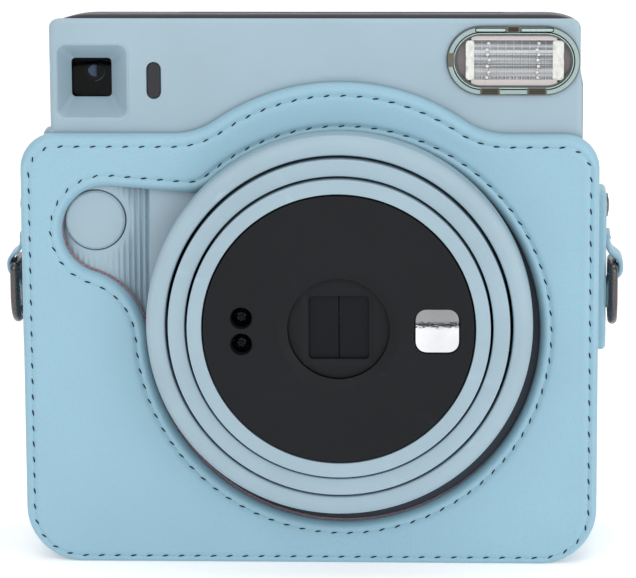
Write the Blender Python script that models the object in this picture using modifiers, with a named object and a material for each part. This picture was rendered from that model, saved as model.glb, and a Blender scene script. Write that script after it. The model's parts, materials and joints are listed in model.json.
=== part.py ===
"""An instant camera that sits in a fitted leather half case, as separate named pieces.

Metres. X runs to the right as seen from the front, Y runs from the front to the back, and Z is up.
The case stands on Z = 0. A depth is a distance behind the flat face of the front cover.
"""

from math import acos, asin, atan2, cos, hypot, pi, radians, sin, sqrt, tan

import bmesh
import bpy
from mathutils import Matrix, Vector

GAP = 0.0003

# The camera body
FRONT_Y = -0.0143
BODY_LEFT = -0.0590
BODY_RIGHT = 0.0614
BODY_BOTTOM = 0.0028
BODY_TOP = 0.1269
BODY_WALL = 0.0018
TOP_SLOPE = radians(6)
TOP_CORNER = 0.0030
BOTTOM_CORNER = 0.0080
FRAME_PROUD = 0.0007
FRONT_COVER_DEPTH = 0.0040
FRAME_BACK = 0.0240
BODY_BACK = 0.0407

# The lens, the ring round it and the telescoping barrel
LENS_X = 0.0070
LENS_Z = 0.0577
LENS_OPENING_RADIUS = 0.0379
RING_RADIUS = 0.0439
RING_BORE = 0.03945
OUTER_BAND = (0.03495, 0.03875)
INNER_BAND = (0.03105, 0.03435)
DISC_RADIUS = 0.0307
DISC_FRONT = -0.0146
TUNNEL_RADIUS = 0.0118
TUNNEL_MOUTH = 0.0139
TUNNEL_FLOOR = -0.0124
APERTURE = (0.0137, 0.0145)
LEAF_DEPTH = -0.0108
LEAF_THICKNESS = 0.0010
RANGE_LENS_X = LENS_X - 0.0220
RANGE_LENS_UPPER_Z = LENS_Z + 0.0026
RANGE_LENS_LOWER_Z = LENS_Z - 0.0034

# The grip, with the shutter button
GRIP_RIGHT = -0.0366
GRIP_LEFT = -0.0613
GRIP_CREST = -0.0480
GRIP_TOP = 0.1002
GRIP_BOTTOM = 0.0080
GRIP_WALL = 0.0016
RIB_PITCH = 0.00125
BUTTON_X = -0.04905
BUTTON_Z = 0.08015
BUTTON_RADIUS = 0.00685
BUTTON_FRONT = -0.0008
SWITCH_HALF = 0.0026

# The finder, the light sensor window and the flash
FINDER_X = -0.0493
FINDER_Z = 0.1120
FINDER_HALF = (0.0082, 0.0086)
EYEPIECE_Z = 0.1095
SENSOR_X = -0.0353
SENSOR_Z = 0.1123
FLASH_X = 0.0462
FLASH_Z = 0.1169
FLASH_HALF_WIDTH = 0.01495
FLASH_HALF_HEIGHT = 0.00775

# The film chamber, the rollers above it and the door behind it
CHAMBER_LEFT = -0.0315
CHAMBER_RIGHT = 0.0455
CHAMBER_BOTTOM = 0.0130
CHAMBER_TOP = 0.1070
CHAMBER_FRONT = 0.0180
CHAMBER_BACK = 0.0378
CHAMBER_WALL = 0.0013
IMAGE_SIZE = 0.0640
ROLLER_RADIUS = 0.0031
DRIVE_ROLLER = (0.0240, 0.1138)
PRESSURE_ROLLER = (0.0172, 0.1138)
SLOT_LEFT = -0.0310
SLOT_RIGHT = 0.0444
DOOR_LEFT = -0.0350
DOOR_RIGHT = 0.0490
DOOR_BOTTOM = 0.0150
DOOR_TOP = 0.1110
HINGE_X = 0.0511
HINGE_DEPTH = 0.0408
DOOR_GAP = 0.0005
HINGE_ROOM = 0.0040
PACK_WINDOW_X = LENS_X
PACK_WINDOW_Z = 0.0600
COUNTER_X = -0.0440
COUNTER_WHEEL_Z = 0.0520
COUNTER_WINDOW_Z = 0.0590
SOCKET_DEPTH = 0.0325

# The gear train that turns the drive roller
GEAR_MODULE = 0.0008
GEAR_LEFT = 0.0485
GEAR_RIGHT = 0.0513
PINION = (0.0105, 0.1020)
PINION_TEETH = 10
IDLER_TEETH = 22
ROLLER_GEAR_TEETH = 12

# The leather half case
CASE_HALF_WIDTH = 0.06585
CASE_SHOULDER = 0.1004
CASE_BACK_TOP = 0.0905
CASE_TOP_CORNER = 0.0080
CASE_BOTTOM_CORNER = 0.0130
CASE_FRONT = (-0.0028, -0.0006)
CASE_SIDE = (-0.0003, 0.0408)
CASE_BACK = (0.0411, 0.0432)
CASE_SIDE_THICKNESS = 0.0024
BUMP_RADIUS = 0.0500
BUMP_CENTRE_Z = 0.0622
BUMP_FILLET = 0.0170
HOLE_X = 0.0083
HOLE_Z = 0.0552
HOLE_RADIUS = 0.0457
LOBE_X = -0.0464
LOBE_Z = 0.0781
LOBE_RADIUS = 0.0102
HOLE_FILLET = 0.0090
TAB_DEPTH = 0.0220
TAB_WIDTH = 0.0140
TAB_BOTTOM = 0.0465
TAB_TOP = 0.0840
TAB_THICKNESS = 0.0018
SNAP_Z = 0.0799
RING_BAR_X = 0.0697
RING_BAR_Z = 0.0660
RING_WIRE = 0.0011
RING_HALF_WIDTH = 0.0070
RING_DROP = 0.0062
LOOP_RADIUS = 0.0028
LOOP_HALF_WIDTH = 0.0045


# Collections, materials and placing


def clear_scene():
    for obj in list(bpy.data.objects):
        bpy.data.objects.remove(obj, do_unlink=True)


def new_collection(name):
    collection = bpy.data.collections.new(name)
    bpy.context.scene.collection.children.link(collection)
    return collection


clear_scene()
CAMERA = new_collection("instant_camera")
CUTTERS = new_collection("cutters")

FINISHES = {
    "blue_plastic": ((0.40, 0.55, 0.64), 0.45, 0.0),
    "dark_plastic": ((0.06, 0.06, 0.07), 0.50, 0.0),
    "black_plastic": ((0.02, 0.02, 0.02), 0.40, 0.0),
    "clear_plastic": ((0.75, 0.80, 0.80), 0.10, 0.0),
    "optical_glass": ((0.80, 0.85, 0.90), 0.02, 0.0),
    "mirror": ((0.90, 0.90, 0.90), 0.02, 1.0),
    "steel": ((0.60, 0.60, 0.62), 0.30, 1.0),
    "gunmetal": ((0.15, 0.15, 0.16), 0.35, 1.0),
    "circuit_board": ((0.05, 0.20, 0.10), 0.50, 0.0),
    "battery_wrap": ((0.55, 0.45, 0.15), 0.35, 0.2),
    "nylon": ((0.80, 0.80, 0.76), 0.50, 0.0),
    "rubber": ((0.03, 0.03, 0.03), 0.80, 0.0),
    "leather": ((0.35, 0.60, 0.70), 0.55, 0.0),
}


def paint(obj, finish):
    """Give the object a material of its own."""
    colour, roughness, metallic = FINISHES[finish]
    material = bpy.data.materials.new(f"{obj.name}_{finish}")
    material.use_nodes = True
    shader = material.node_tree.nodes["Principled BSDF"]
    shader.inputs["Base Color"].default_value = (*colour, 1)
    shader.inputs["Roughness"].default_value = roughness
    shader.inputs["Metallic"].default_value = metallic
    obj.data.materials.clear()
    obj.data.materials.append(material)
    return obj


def place(name, mesh, pivot=(0, 0, 0)):
    """An object whose mesh is given in the camera's frame and whose origin is the pivot."""
    mesh.transform(Matrix.Translation(-Vector(pivot)))
    obj = bpy.data.objects.new(name, mesh)
    obj.location = pivot
    CAMERA.objects.link(obj)
    mesh.shade_smooth()
    mesh.set_sharp_from_angle(angle=radians(35))
    return obj


def as_cutter(obj):
    CAMERA.objects.unlink(obj)
    CUTTERS.objects.link(obj)
    obj.hide_render = True
    obj.display_type = "WIRE"
    return obj


def combine(target, other, operation):
    modifier = target.modifiers.new(operation.lower(), "BOOLEAN")
    modifier.operation = operation
    modifier.solver = "EXACT"
    modifier.object = as_cutter(other)
    return target


def cut(target, *others):
    for other in others:
        combine(target, other, "DIFFERENCE")
    return target


def join(target, *others):
    for other in others:
        combine(target, other, "UNION")
    return target


def at_depth(x, depth, z):
    return Vector((x, FRONT_Y + depth, z))


# Outlines: lists of (x, z) points, counterclockwise


def arc(centre_x, centre_z, radius, start, end, steps):
    """Points along an arc, with its angles in degrees."""
    angles = [radians(start + (end - start) * i / steps) for i in range(steps + 1)]
    return [(centre_x + radius * cos(a), centre_z + radius * sin(a)) for a in angles]


def circle(centre_x, centre_z, radius, steps=32):
    return arc(centre_x, centre_z, radius, 0, 360, steps)[:-1]


def rounded_box(left, right, bottom, top, radii, steps=3):
    """A rectangle whose corners are rounded, from the bottom left one round to the top left one."""
    corners = ((left, bottom, 180), (right, bottom, 270), (right, top, 0), (left, top, 90))
    points = []
    for (x, z, start), radius in zip(corners, radii):
        centre_x = x + radius if x == left else x - radius
        centre_z = z + radius if z == bottom else z - radius
        points += arc(centre_x, centre_z, radius, start, start + 90, steps)
    return points


def boxed(centre_x, centre_z, half_width, half_height, radius):
    """A rectangle with round corners about a centre."""
    left, right = centre_x - half_width, centre_x + half_width
    bottom, top = centre_z - half_height, centre_z + half_height
    return rounded_box(left, right, bottom, top, [radius] * 4)


def stadium(centre_x, centre_z, half_width, half_height, steps=10):
    """A rectangle with two half-round ends, along its longer way."""
    radius = min(half_width, half_height)
    reach_x = half_width - radius
    reach_z = half_height - radius
    turn = -90 if half_width > half_height else 0
    points = arc(centre_x + reach_x, centre_z + reach_z, radius, turn, turn + 180, steps)
    points += arc(centre_x - reach_x, centre_z - reach_z, radius, turn + 180, turn + 360, steps)
    return points


# Shapes


AXES = {
    # each facing says where an outline's own two directions and its thickness point
    "Y": Matrix(((1, 0, 0), (0, 0, -1), (0, 1, 0))),
    "X": Matrix(((0, 0, 1), (1, 0, 0), (0, 1, 0))),
    "Z": Matrix(((1, 0, 0), (0, 1, 0), (0, 0, 1))),
}


def plate(name, outlines, low, high, facing="Y", pivot=(0, 0, 0), rounding=0.0, sloped=False):
    """A flat piece between two places along its facing: two depths, or two values of X or Z.

    An outline inside another is a hole. Outlines are (x, z) when the piece faces Y,
    (depth, z) when it faces X and (x, depth) when it faces Z.
    """
    curve = bpy.data.curves.new(name, "CURVE")
    curve.dimensions = "2D"
    curve.fill_mode = "BOTH"
    curve.extrude = (high - low) / 2 - rounding
    curve.bevel_depth = rounding
    curve.bevel_resolution = 1
    curve.offset = -rounding
    for outline in outlines:
        spline = curve.splines.new("POLY")
        spline.points.add(len(outline) - 1)
        for point, (u, v) in zip(spline.points, outline):
            point.co = (u, v, 0, 1)
        spline.use_cyclic_u = True
    guide = bpy.data.objects.new(name + "_guide", curve)
    bpy.context.scene.collection.objects.link(guide)
    graph = bpy.context.evaluated_depsgraph_get()
    mesh = bpy.data.meshes.new_from_object(guide.evaluated_get(graph))
    bpy.data.objects.remove(guide, do_unlink=True)
    mesh.name = name
    weld(mesh)
    mesh.transform(AXES[facing].to_4x4())
    middle = (low + high) / 2
    offset = {
        "Y": (0, FRONT_Y + middle, 0),
        "X": (middle, FRONT_Y, 0),
        "Z": (0, FRONT_Y, middle),
    }[facing]
    mesh.transform(Matrix.Translation(offset))
    if sloped:
        slope_top(mesh)
    return place(name, mesh, pivot)


def weld(mesh, distance=0.000002):
    work = bmesh.new()
    work.from_mesh(mesh)
    bmesh.ops.remove_doubles(work, verts=work.verts, dist=distance)
    bmesh.ops.recalc_face_normals(work, faces=work.faces)
    work.to_mesh(mesh)
    work.free()


def slope_top(mesh):
    """Tilt the camera's top face down towards the back."""
    for vertex in mesh.vertices:
        if vertex.co.z > CASE_SHOULDER:
            vertex.co.z -= (vertex.co.y - FRONT_Y) * tan(TOP_SLOPE)


def box(name, low, high, pivot=(0, 0, 0)):
    """A block between two corners, each (x, depth, z)."""
    low, high = at_depth(*low), at_depth(*high)
    size = Matrix.Diagonal(high - low)
    work = bmesh.new()
    bmesh.ops.create_cube(work, size=1, matrix=Matrix.Translation((low + high) / 2) @ size.to_4x4())
    mesh = bpy.data.meshes.new(name)
    work.to_mesh(mesh)
    work.free()
    return place(name, mesh, pivot)


def rod(name, start, end, radius, segments=16, tip_radius=None, pivot=(0, 0, 0)):
    """A round bar between two points, each (x, depth, z)."""
    start, end = at_depth(*start), at_depth(*end)
    turn = (end - start).to_track_quat("Z", "Y").to_matrix().to_4x4()
    work = bmesh.new()
    bmesh.ops.create_cone(
        work,
        cap_ends=True,
        segments=segments,
        radius1=radius,
        radius2=radius if tip_radius is None else tip_radius,
        depth=(end - start).length,
        matrix=Matrix.Translation((start + end) / 2) @ turn,
    )
    mesh = bpy.data.meshes.new(name)
    work.to_mesh(mesh)
    work.free()
    return place(name, mesh, pivot)


def turned(name, profile, centre=(LENS_X, LENS_Z), closed=True, steps=48):
    """A turned piece about an axis along Y. Its profile is (radius, depth), front outer edge first."""
    mesh = bpy.data.meshes.new(name)
    edges = [(i, i + 1) for i in range(len(profile) - 1)]
    if closed:
        edges.append((len(profile) - 1, 0))
    mesh.from_pydata([(radius, 0, -depth) for radius, depth in profile], edges, [])
    obj = bpy.data.objects.new(name, mesh)
    CAMERA.objects.link(obj)
    obj.rotation_euler.x = radians(90)
    obj.location = (centre[0], FRONT_Y, centre[1])
    screw = obj.modifiers.new("turn", "SCREW")
    screw.steps = steps
    screw.render_steps = steps
    screw.use_merge_vertices = True
    screw.merge_threshold = 0.00001
    screw.use_smooth_shade = True
    return obj


def wire(name, points, radius, closed=False, sides=1, pivot=(0, 0, 0)):
    """A round wire through the points, each (x, depth, z)."""
    curve = bpy.data.curves.new(name, "CURVE")
    curve.dimensions = "3D"
    curve.bevel_depth = radius
    curve.bevel_resolution = sides
    curve.use_fill_caps = not closed
    spline = curve.splines.new("POLY")
    spline.points.add(len(points) - 1)
    for point, place_of in zip(spline.points, points):
        point.co = (*(at_depth(*place_of) - Vector(pivot)), 1)
    spline.use_cyclic_u = closed
    obj = bpy.data.objects.new(name, curve)
    obj.location = pivot
    CAMERA.objects.link(obj)
    return obj


def tapered_tube(name, front_half, back_half, front, back, wall, centre):
    """A square funnel, open at both ends, between two depths; each half is (x, z)."""
    work = bmesh.new()
    loops = []
    for depth, half, inset in (
        (front, front_half, 0),
        (back, back_half, 0),
        (back, back_half, wall),
        (front, front_half, wall),
    ):
        corners = ((-1, -1), (1, -1), (1, 1), (-1, 1))
        loops.append(
            [
                work.verts.new(
                    at_depth(centre[0] + i * (half[0] - inset), depth, centre[1] + j * (half[1] - inset))
                )
                for i, j in corners
            ]
        )
    for first, second in zip(loops, loops[1:] + loops[:1]):
        for i in range(4):
            work.faces.new((first[i], first[(i + 1) % 4], second[(i + 1) % 4], second[i]))
    bmesh.ops.recalc_face_normals(work, faces=work.faces)
    mesh = bpy.data.meshes.new(name)
    work.to_mesh(mesh)
    work.free()
    return place(name, mesh)


# The camera body's covers


def body_outline(inset=0.0, proud=0.0):
    """The body from the front, smaller by the inset, or wider at the top and the right."""
    return rounded_box(
        BODY_LEFT + inset,
        BODY_RIGHT + proud - inset,
        BODY_BOTTOM + inset,
        BODY_TOP + proud - inset,
        [max(r - inset, 0.0006) for r in (BOTTOM_CORNER, BOTTOM_CORNER, TOP_CORNER, TOP_CORNER)],
    )


def battery_opening(name):
    return box(name, (-0.0620, 0.0135, 0.0340), (-0.0562, 0.0310, 0.0920))


def build_front_cover():
    cover = plate("front_cover", [body_outline()], 0, FRONT_COVER_DEPTH, sloped=True)
    centre = (FINDER_X, FINDER_Z)
    mouth = (FINDER_HALF[0] + 0.0010, FINDER_HALF[1] + 0.0010)
    funnel = tapered_tube("finder_funnel", mouth, (0.0058, 0.0060), 0.0004, 0.0062, 0.0011, centre)
    cut(
        cover,
        plate("cover_hollow", [body_outline(BODY_WALL)], BODY_WALL, 0.0060, sloped=True),
        rod("lens_opening", (LENS_X, -0.001, LENS_Z), (LENS_X, 0.005, LENS_Z), LENS_OPENING_RADIUS, 48),
        box("grip_opening", (-0.070, -0.001, GRIP_BOTTOM - GAP), (GRIP_RIGHT + GAP, 0.006, GRIP_TOP + GAP)),
        plate("finder_opening", [finder_outline()], -0.001, 0.005),
        plate("sensor_opening", [stadium(SENSOR_X, SENSOR_Z, 0.0019, 0.0046, 5)], -0.001, 0.005),
        plate("flash_opening", [flash_outline(GAP)], -0.001, 0.005),
    )
    join(cover, funnel)
    paint(cover, "blue_plastic")


def grip_depth(x):
    """How deep the grip's face lies at a place across it: a low crest that rolls off to the left."""
    if x > GRIP_CREST:
        return -0.0003 + 0.0016 * ((x - GRIP_CREST) / (GRIP_RIGHT - GRIP_CREST)) ** 2
    reach = (GRIP_CREST - x) / (GRIP_CREST - GRIP_LEFT)
    return -0.0003 + 0.0062 * (1 - sqrt(max(0.0, 1 - reach**2)))


def grip_outline():
    """The grip's section from above, as (x, depth), with its ribs."""
    outer = []
    count = int((GRIP_RIGHT - GRIP_LEFT) / RIB_PITCH)
    for i in range(count):
        x = GRIP_RIGHT - i * RIB_PITCH
        rib = 0.00032 if i < 6 or i > 14 else 0.00016
        outer.append((x, grip_depth(x) + rib))
        outer.append((x - 0.3 * RIB_PITCH, grip_depth(x - 0.3 * RIB_PITCH)))
        outer.append((x - 0.75 * RIB_PITCH, grip_depth(x - 0.75 * RIB_PITCH)))
    outer += [(GRIP_LEFT, 0.0062), (GRIP_LEFT, 0.0096)]
    inner = [(GRIP_LEFT + GRIP_WALL, 0.0096)]
    reach = GRIP_CREST - GRIP_LEFT - GRIP_WALL
    for i in range(7):
        angle = radians(90 * i / 6)
        inner.append((GRIP_CREST - reach * cos(angle), 0.0013 + 0.0048 * (1 - sin(angle))))
    inner.append((GRIP_RIGHT, grip_depth(GRIP_RIGHT) + GRIP_WALL))
    return outer + inner


def build_grip_cover():
    grip = plate("grip_cover", [grip_outline()], GRIP_BOTTOM, GRIP_TOP, facing="Z")
    front, back = (BUTTON_X, -0.002, BUTTON_Z), (BUTTON_X, 0.008, BUTTON_Z)
    hole = rod("button_hole", front, back, BUTTON_RADIUS + GAP, 32)
    cut(grip, hole)
    paint(grip, "blue_plastic")


def slot_top():
    """The height of the frame's sloping top at the film slot."""
    return BODY_TOP + FRAME_PROUD - 0.0200 * tan(TOP_SLOPE)


def build_middle_frame():
    outline = body_outline(proud=FRAME_PROUD)
    front = FRONT_COVER_DEPTH + GAP
    frame = plate("middle_frame", [outline, body_outline(BODY_WALL)], front, FRAME_BACK, sloped=True)
    lip_top = slot_top() + 0.0004
    join(frame, box("slot_lip", (SLOT_LEFT, 0.0167, lip_top - 0.0022), (SLOT_RIGHT, 0.0234, lip_top)))
    low = (SLOT_LEFT + 0.0010, 0.0189, lip_top - 0.010)
    high = (SLOT_RIGHT - 0.0010, 0.0222, lip_top + 0.002)
    grip_room = box("grip_room", (-0.0620, 0.0, GRIP_BOTTOM - GAP), (-0.0565, 0.0067, GRIP_TOP + GAP))
    cut(frame, battery_opening("frame_battery_opening"), box("exit_slot", low, high), grip_room)
    paint(frame, "dark_plastic")


def build_exit_flap():
    """The curtain in the slot, hinged along its rear edge, that swings up as the film comes out."""
    top = slot_top()
    pivot = at_depth(0.0067, 0.0217, top - 0.0009)
    low, high = (SLOT_LEFT + 0.0015, 0.0193, top - 0.0012), (SLOT_RIGHT - 0.0015, 0.0219, top - 0.0006)
    paint(box("exit_flap", low, high, pivot=pivot), "rubber")


def counter_outline(grow=0.0):
    return boxed(COUNTER_X, COUNTER_WINDOW_Z, 0.0032 + grow, 0.0027 + grow, 0.0008 + grow)


def build_rear_cover():
    cover = plate("rear_cover", [body_outline()], FRAME_BACK + GAP, BODY_BACK, sloped=True)
    room = (DOOR_LEFT - DOOR_GAP, DOOR_RIGHT + HINGE_ROOM, DOOR_BOTTOM - DOOR_GAP, DOOR_TOP + DOOR_GAP)
    cut(
        cover,
        plate("rear_hollow", [body_outline(BODY_WALL)], 0.0200, BODY_BACK - BODY_WALL, sloped=True),
        plate("door_opening", [rounded_box(*room, [0.0004] * 4)], 0.038, 0.043),
        battery_opening("rear_battery_opening"),
        plate("eyepiece_opening", [boxed(FINDER_X, EYEPIECE_Z, 0.0065, 0.0055, 0.0010)], 0.038, 0.043),
        plate("counter_opening", [counter_outline(GAP)], 0.038, 0.043),
        plate("latch_opening", [rounded_box(-0.0428, -0.0382, 0.0730, 0.0850, [0.0006] * 4)], 0.038, 0.043),
        rod("socket_hole", (LENS_X, SOCKET_DEPTH, 0.001), (LENS_X, SOCKET_DEPTH, 0.006), 0.0062, 24),
    )
    paint(cover, "blue_plastic")


def build_tripod_socket():
    foot, head = (LENS_X, SOCKET_DEPTH, BODY_BOTTOM + 0.0001), (LENS_X, SOCKET_DEPTH, 0.0118)
    socket = rod("tripod_socket", foot, head, 0.0058, 24)
    bore_foot, bore_head = (LENS_X, SOCKET_DEPTH, 0.001), (LENS_X, SOCKET_DEPTH, 0.0100)
    cut(socket, rod("socket_bore", bore_foot, bore_head, 0.0032, 20))
    paint(socket, "steel")


def build_battery_cover():
    cover = plate(
        "battery_cover",
        [rounded_box(0.0100, 0.0344, 0.0300, 0.0960, [0.0020] * 4)],
        GRIP_LEFT,
        BODY_LEFT - GAP,
        facing="X",
        pivot=at_depth(GRIP_LEFT, 0.0222, 0.0630),
    )
    paint(cover, "blue_plastic")


# The finder, the sensor window and the flash


def finder_outline():
    return boxed(FINDER_X, FINDER_Z, *FINDER_HALF, 0.0018)


def build_finder():
    window = plate("finder_window", [boxed(FINDER_X, FINDER_Z, 0.0056, 0.0056, 0.0010)], 0.0066, 0.0080)
    paint(window, "optical_glass")
    edge = boxed(FINDER_X, EYEPIECE_Z, 0.0062, 0.0052, 0.0010)
    sight = boxed(FINDER_X, EYEPIECE_Z, 0.0040, 0.0035, 0.0010)
    eyepiece = plate("finder_eyepiece", [edge, sight], 0.0380, 0.0424)
    paint(eyepiece, "black_plastic")


def build_sensor_window():
    window = plate("sensor_window", [stadium(SENSOR_X, SENSOR_Z, 0.0016, 0.0043, 5)], -0.0001, 0.0020)
    paint(window, "black_plastic")


def flash_outline(grow=0.0):
    return stadium(FLASH_X, FLASH_Z, FLASH_HALF_WIDTH + grow, FLASH_HALF_HEIGHT + grow)


def flash_housing_outline():
    return stadium(FLASH_X, FLASH_Z, FLASH_HALF_WIDTH - 0.0006, FLASH_HALF_HEIGHT - 0.0006)


def build_flash():
    window = plate("flash_window", [flash_outline()], -0.0012, 0.0010)
    paint(window, "clear_plastic")
    mouth = boxed(FLASH_X, FLASH_Z, 0.0106, 0.0058, 0.0004)
    housing = plate("flash_housing", [flash_housing_outline(), mouth], 0.0013, 0.0040)
    paint(housing, "dark_plastic")
    centre = (FLASH_X, FLASH_Z)
    front, back = (0.0102, 0.0054), (0.0090, 0.0028)
    reflector = tapered_tube("flash_reflector", front, back, 0.0014, 0.0098, 0.0006, centre)
    paint(reflector, "mirror")
    left, right = (FLASH_X - 0.0082, 0.0072, FLASH_Z), (FLASH_X + 0.0082, 0.0072, FLASH_Z)
    tube = rod("flash_tube", left, right, 0.0012, 12)
    paint(tube, "optical_glass")
    capacitor = rod("flash_capacitor", (-0.0270, 0.0110, 0.0115), (0.0040, 0.0110, 0.0115), 0.0060, 20)
    paint(capacitor, "gunmetal")


# The lens and the barrel


def build_lens_base():
    """The fixed collar that the ring turns on and the barrel slides in."""
    profile = [
        (0.0420, -0.0092),
        (0.0420, -0.0034),
        (0.0420, -0.0003),
        (0.0372, -0.0003),
        (0.0372, 0.0130),
        (0.0359, 0.0130),
        (0.0359, -0.0036),
        (0.0411, -0.0036),
        (0.0411, -0.0092),
    ]
    paint(turned("lens_base", profile), "dark_plastic")


def build_lens_ring():
    """The outermost band: a channel that turns on the collar."""
    profile = [
        (0.0410, -0.0120),
        (0.0429, -0.0117),
        (0.0436, -0.0112),
        (RING_RADIUS, -0.0104),
        (RING_RADIUS, -0.0040),
        (0.0423, -0.0040),
        (0.0423, -0.0104),
        (0.0408, -0.0104),
        (0.0408, -0.0040),
        (RING_BORE, -0.0040),
        (RING_BORE, -0.0118),
        (0.0397, -0.0120),
    ]
    paint(turned("lens_ring", profile), "blue_plastic")


def channel(outer, inner, front, back, wall, skin):
    """A band that is open at the back, as (radius, depth)."""
    return [
        (outer - 0.0003, front),
        (outer, front + 0.0003),
        (outer, back),
        (outer - wall, back),
        (outer - wall, front + skin),
        (inner + wall, front + skin),
        (inner + wall, front + 0.0070),
        (inner, front + 0.0070),
        (inner, front + 0.0002),
        (inner + 0.0002, front),
    ]


def build_barrel():
    outer_inner, outer_outer = OUTER_BAND
    inner_inner, inner_outer = INNER_BAND
    outer_band = channel(outer_outer, outer_inner, -0.0132, -0.0040, 0.0011, 0.0014)
    paint(turned("barrel_outer_band", outer_band), "blue_plastic")
    inner_band = channel(inner_outer, inner_inner, -0.0145, 0.0100, 0.0011, 0.0014)
    paint(turned("barrel_inner_band", inner_band), "blue_plastic")
    disc_profile = [
        (DISC_RADIUS, DISC_FRONT),
        (DISC_RADIUS, DISC_FRONT + 0.0014),
        (TUNNEL_RADIUS, DISC_FRONT + 0.0014),
        (TUNNEL_RADIUS, DISC_FRONT + 0.0010),
        (TUNNEL_MOUTH, DISC_FRONT),
    ]
    disc = turned("front_disc", disc_profile, steps=64)
    for name, z in (("upper_hole", RANGE_LENS_UPPER_Z), ("lower_hole", RANGE_LENS_LOWER_Z)):
        cut(disc, rod(name, (RANGE_LENS_X, -0.016, z), (RANGE_LENS_X, -0.012, z), 0.0026, 16))
    cut(disc, plate("mirror_hole", [rounded_box(*mirror_box(0.0), [0.0027] * 4, 4)], -0.016, -0.012))
    paint(disc, "black_plastic")
    rim = DISC_FRONT + 0.0014 + GAP
    hood = [
        (0.0136, rim),
        (0.0136, TUNNEL_FLOOR + 0.0011),
        (0.0060, TUNNEL_FLOOR + 0.0011),
        (0.0060, TUNNEL_FLOOR),
        (TUNNEL_RADIUS, TUNNEL_FLOOR),
        (TUNNEL_RADIUS, rim),
    ]
    hood_piece = turned("lens_hood", hood, steps=32)
    half_width, half_height = APERTURE[0] / 2, APERTURE[1] / 2
    low = (LENS_X - half_width, TUNNEL_FLOOR - 0.001, LENS_Z - half_height)
    high = (LENS_X + half_width, TUNNEL_FLOOR + 0.002, LENS_Z + half_height)
    cut(hood_piece, box("aperture", low, high))
    paint(hood_piece, "black_plastic")
    cell = [
        (0.0329, -0.0052),
        (0.0329, -0.0038),
        (0.0122, -0.0038),
        (0.0122, 0.0078),
        (0.0105, 0.0078),
        (0.0092, 0.0030),
        (0.0092, -0.0052),
    ]
    paint(turned("lens_cell", cell, steps=32), "black_plastic")


def mirror_box(shrink):
    """The mirror's left, right, bottom and top."""
    return (
        LENS_X + 0.01705 + shrink,
        LENS_X + 0.02755 - shrink,
        LENS_Z - 0.0055 + shrink,
        LENS_Z + 0.0049 - shrink,
    )


def lens_element(name, radius, front, back, bulge, finish):
    """A lens, thickest on its axis."""
    rise = [(0.0, 1.0), (0.5, 0.75), (1.0, 0.0)]
    profile = [(radius * share, front - bulge * height) for share, height in rise]
    profile += [(radius * share, back + bulge * height) for share, height in reversed(rise)]
    paint(turned(name, profile, closed=False, steps=24), finish)


def build_lens():
    lens_element("front_lens", 0.0088, -0.0034, -0.0016, 0.0010, "optical_glass")
    for side, name in ((-1, "lens_cover_left"), (1, "lens_cover_right")):
        inner = LENS_X + side * 0.00008
        outer = LENS_X + side * 0.0090
        leaf = box(
            name,
            (min(inner, outer), LEAF_DEPTH, LENS_Z - 0.0082),
            (max(inner, outer), LEAF_DEPTH + LEAF_THICKNESS, LENS_Z + 0.0082),
            pivot=at_depth(inner, LEAF_DEPTH, LENS_Z),
        )
        paint(leaf, "black_plastic")
    outline = stadium(LENS_X, LENS_Z - 0.0033, 0.0022, 0.0055, 6)
    pivot = at_depth(LENS_X, 0.0006, LENS_Z - 0.0066)
    blade = plate("shutter_blade", [outline], 0.0004, 0.0008, pivot=pivot)
    paint(blade, "gunmetal")


def build_disc_fittings():
    mirror = plate("selfie_mirror", [rounded_box(*mirror_box(0.0003), [0.0024] * 4, 4)], -0.0139, -0.0128)
    paint(mirror, "mirror")
    for name, z in (("range_lens_upper", RANGE_LENS_UPPER_Z), ("range_lens_lower", RANGE_LENS_LOWER_Z)):
        front = (RANGE_LENS_X, -0.0139, z)
        paint(rod(name, front, (front[0], -0.0118, z), 0.0016, 16, tip_radius=0.0022), "optical_glass")


# The shutter button


def build_shutter_button():
    profile = [
        (0.0, BUTTON_FRONT),
        (0.0060, BUTTON_FRONT),
        (BUTTON_RADIUS, BUTTON_FRONT + 0.0006),
        (BUTTON_RADIUS, 0.0034),
        (0.0078, 0.0034),
        (0.0078, 0.0041),
        (0.0020, 0.0041),
        (0.0020, 0.0053),
        (0.0, 0.0053),
    ]
    button = turned("shutter_button", profile, (BUTTON_X, BUTTON_Z), closed=False, steps=32)
    paint(button, "blue_plastic")


def build_button_spring():
    turns, steps, radius = 3, 10, 0.0042
    coil = []
    for i in range(turns * steps + 1):
        angle = 2 * pi * i / steps
        depth = 0.0047 + 0.0018 * i / (turns * steps)
        coil.append((BUTTON_X + radius * cos(angle), depth, BUTTON_Z + radius * sin(angle)))
    paint(wire("button_spring", coil, 0.00025, sides=0), "steel")


# The inside of the body


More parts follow.
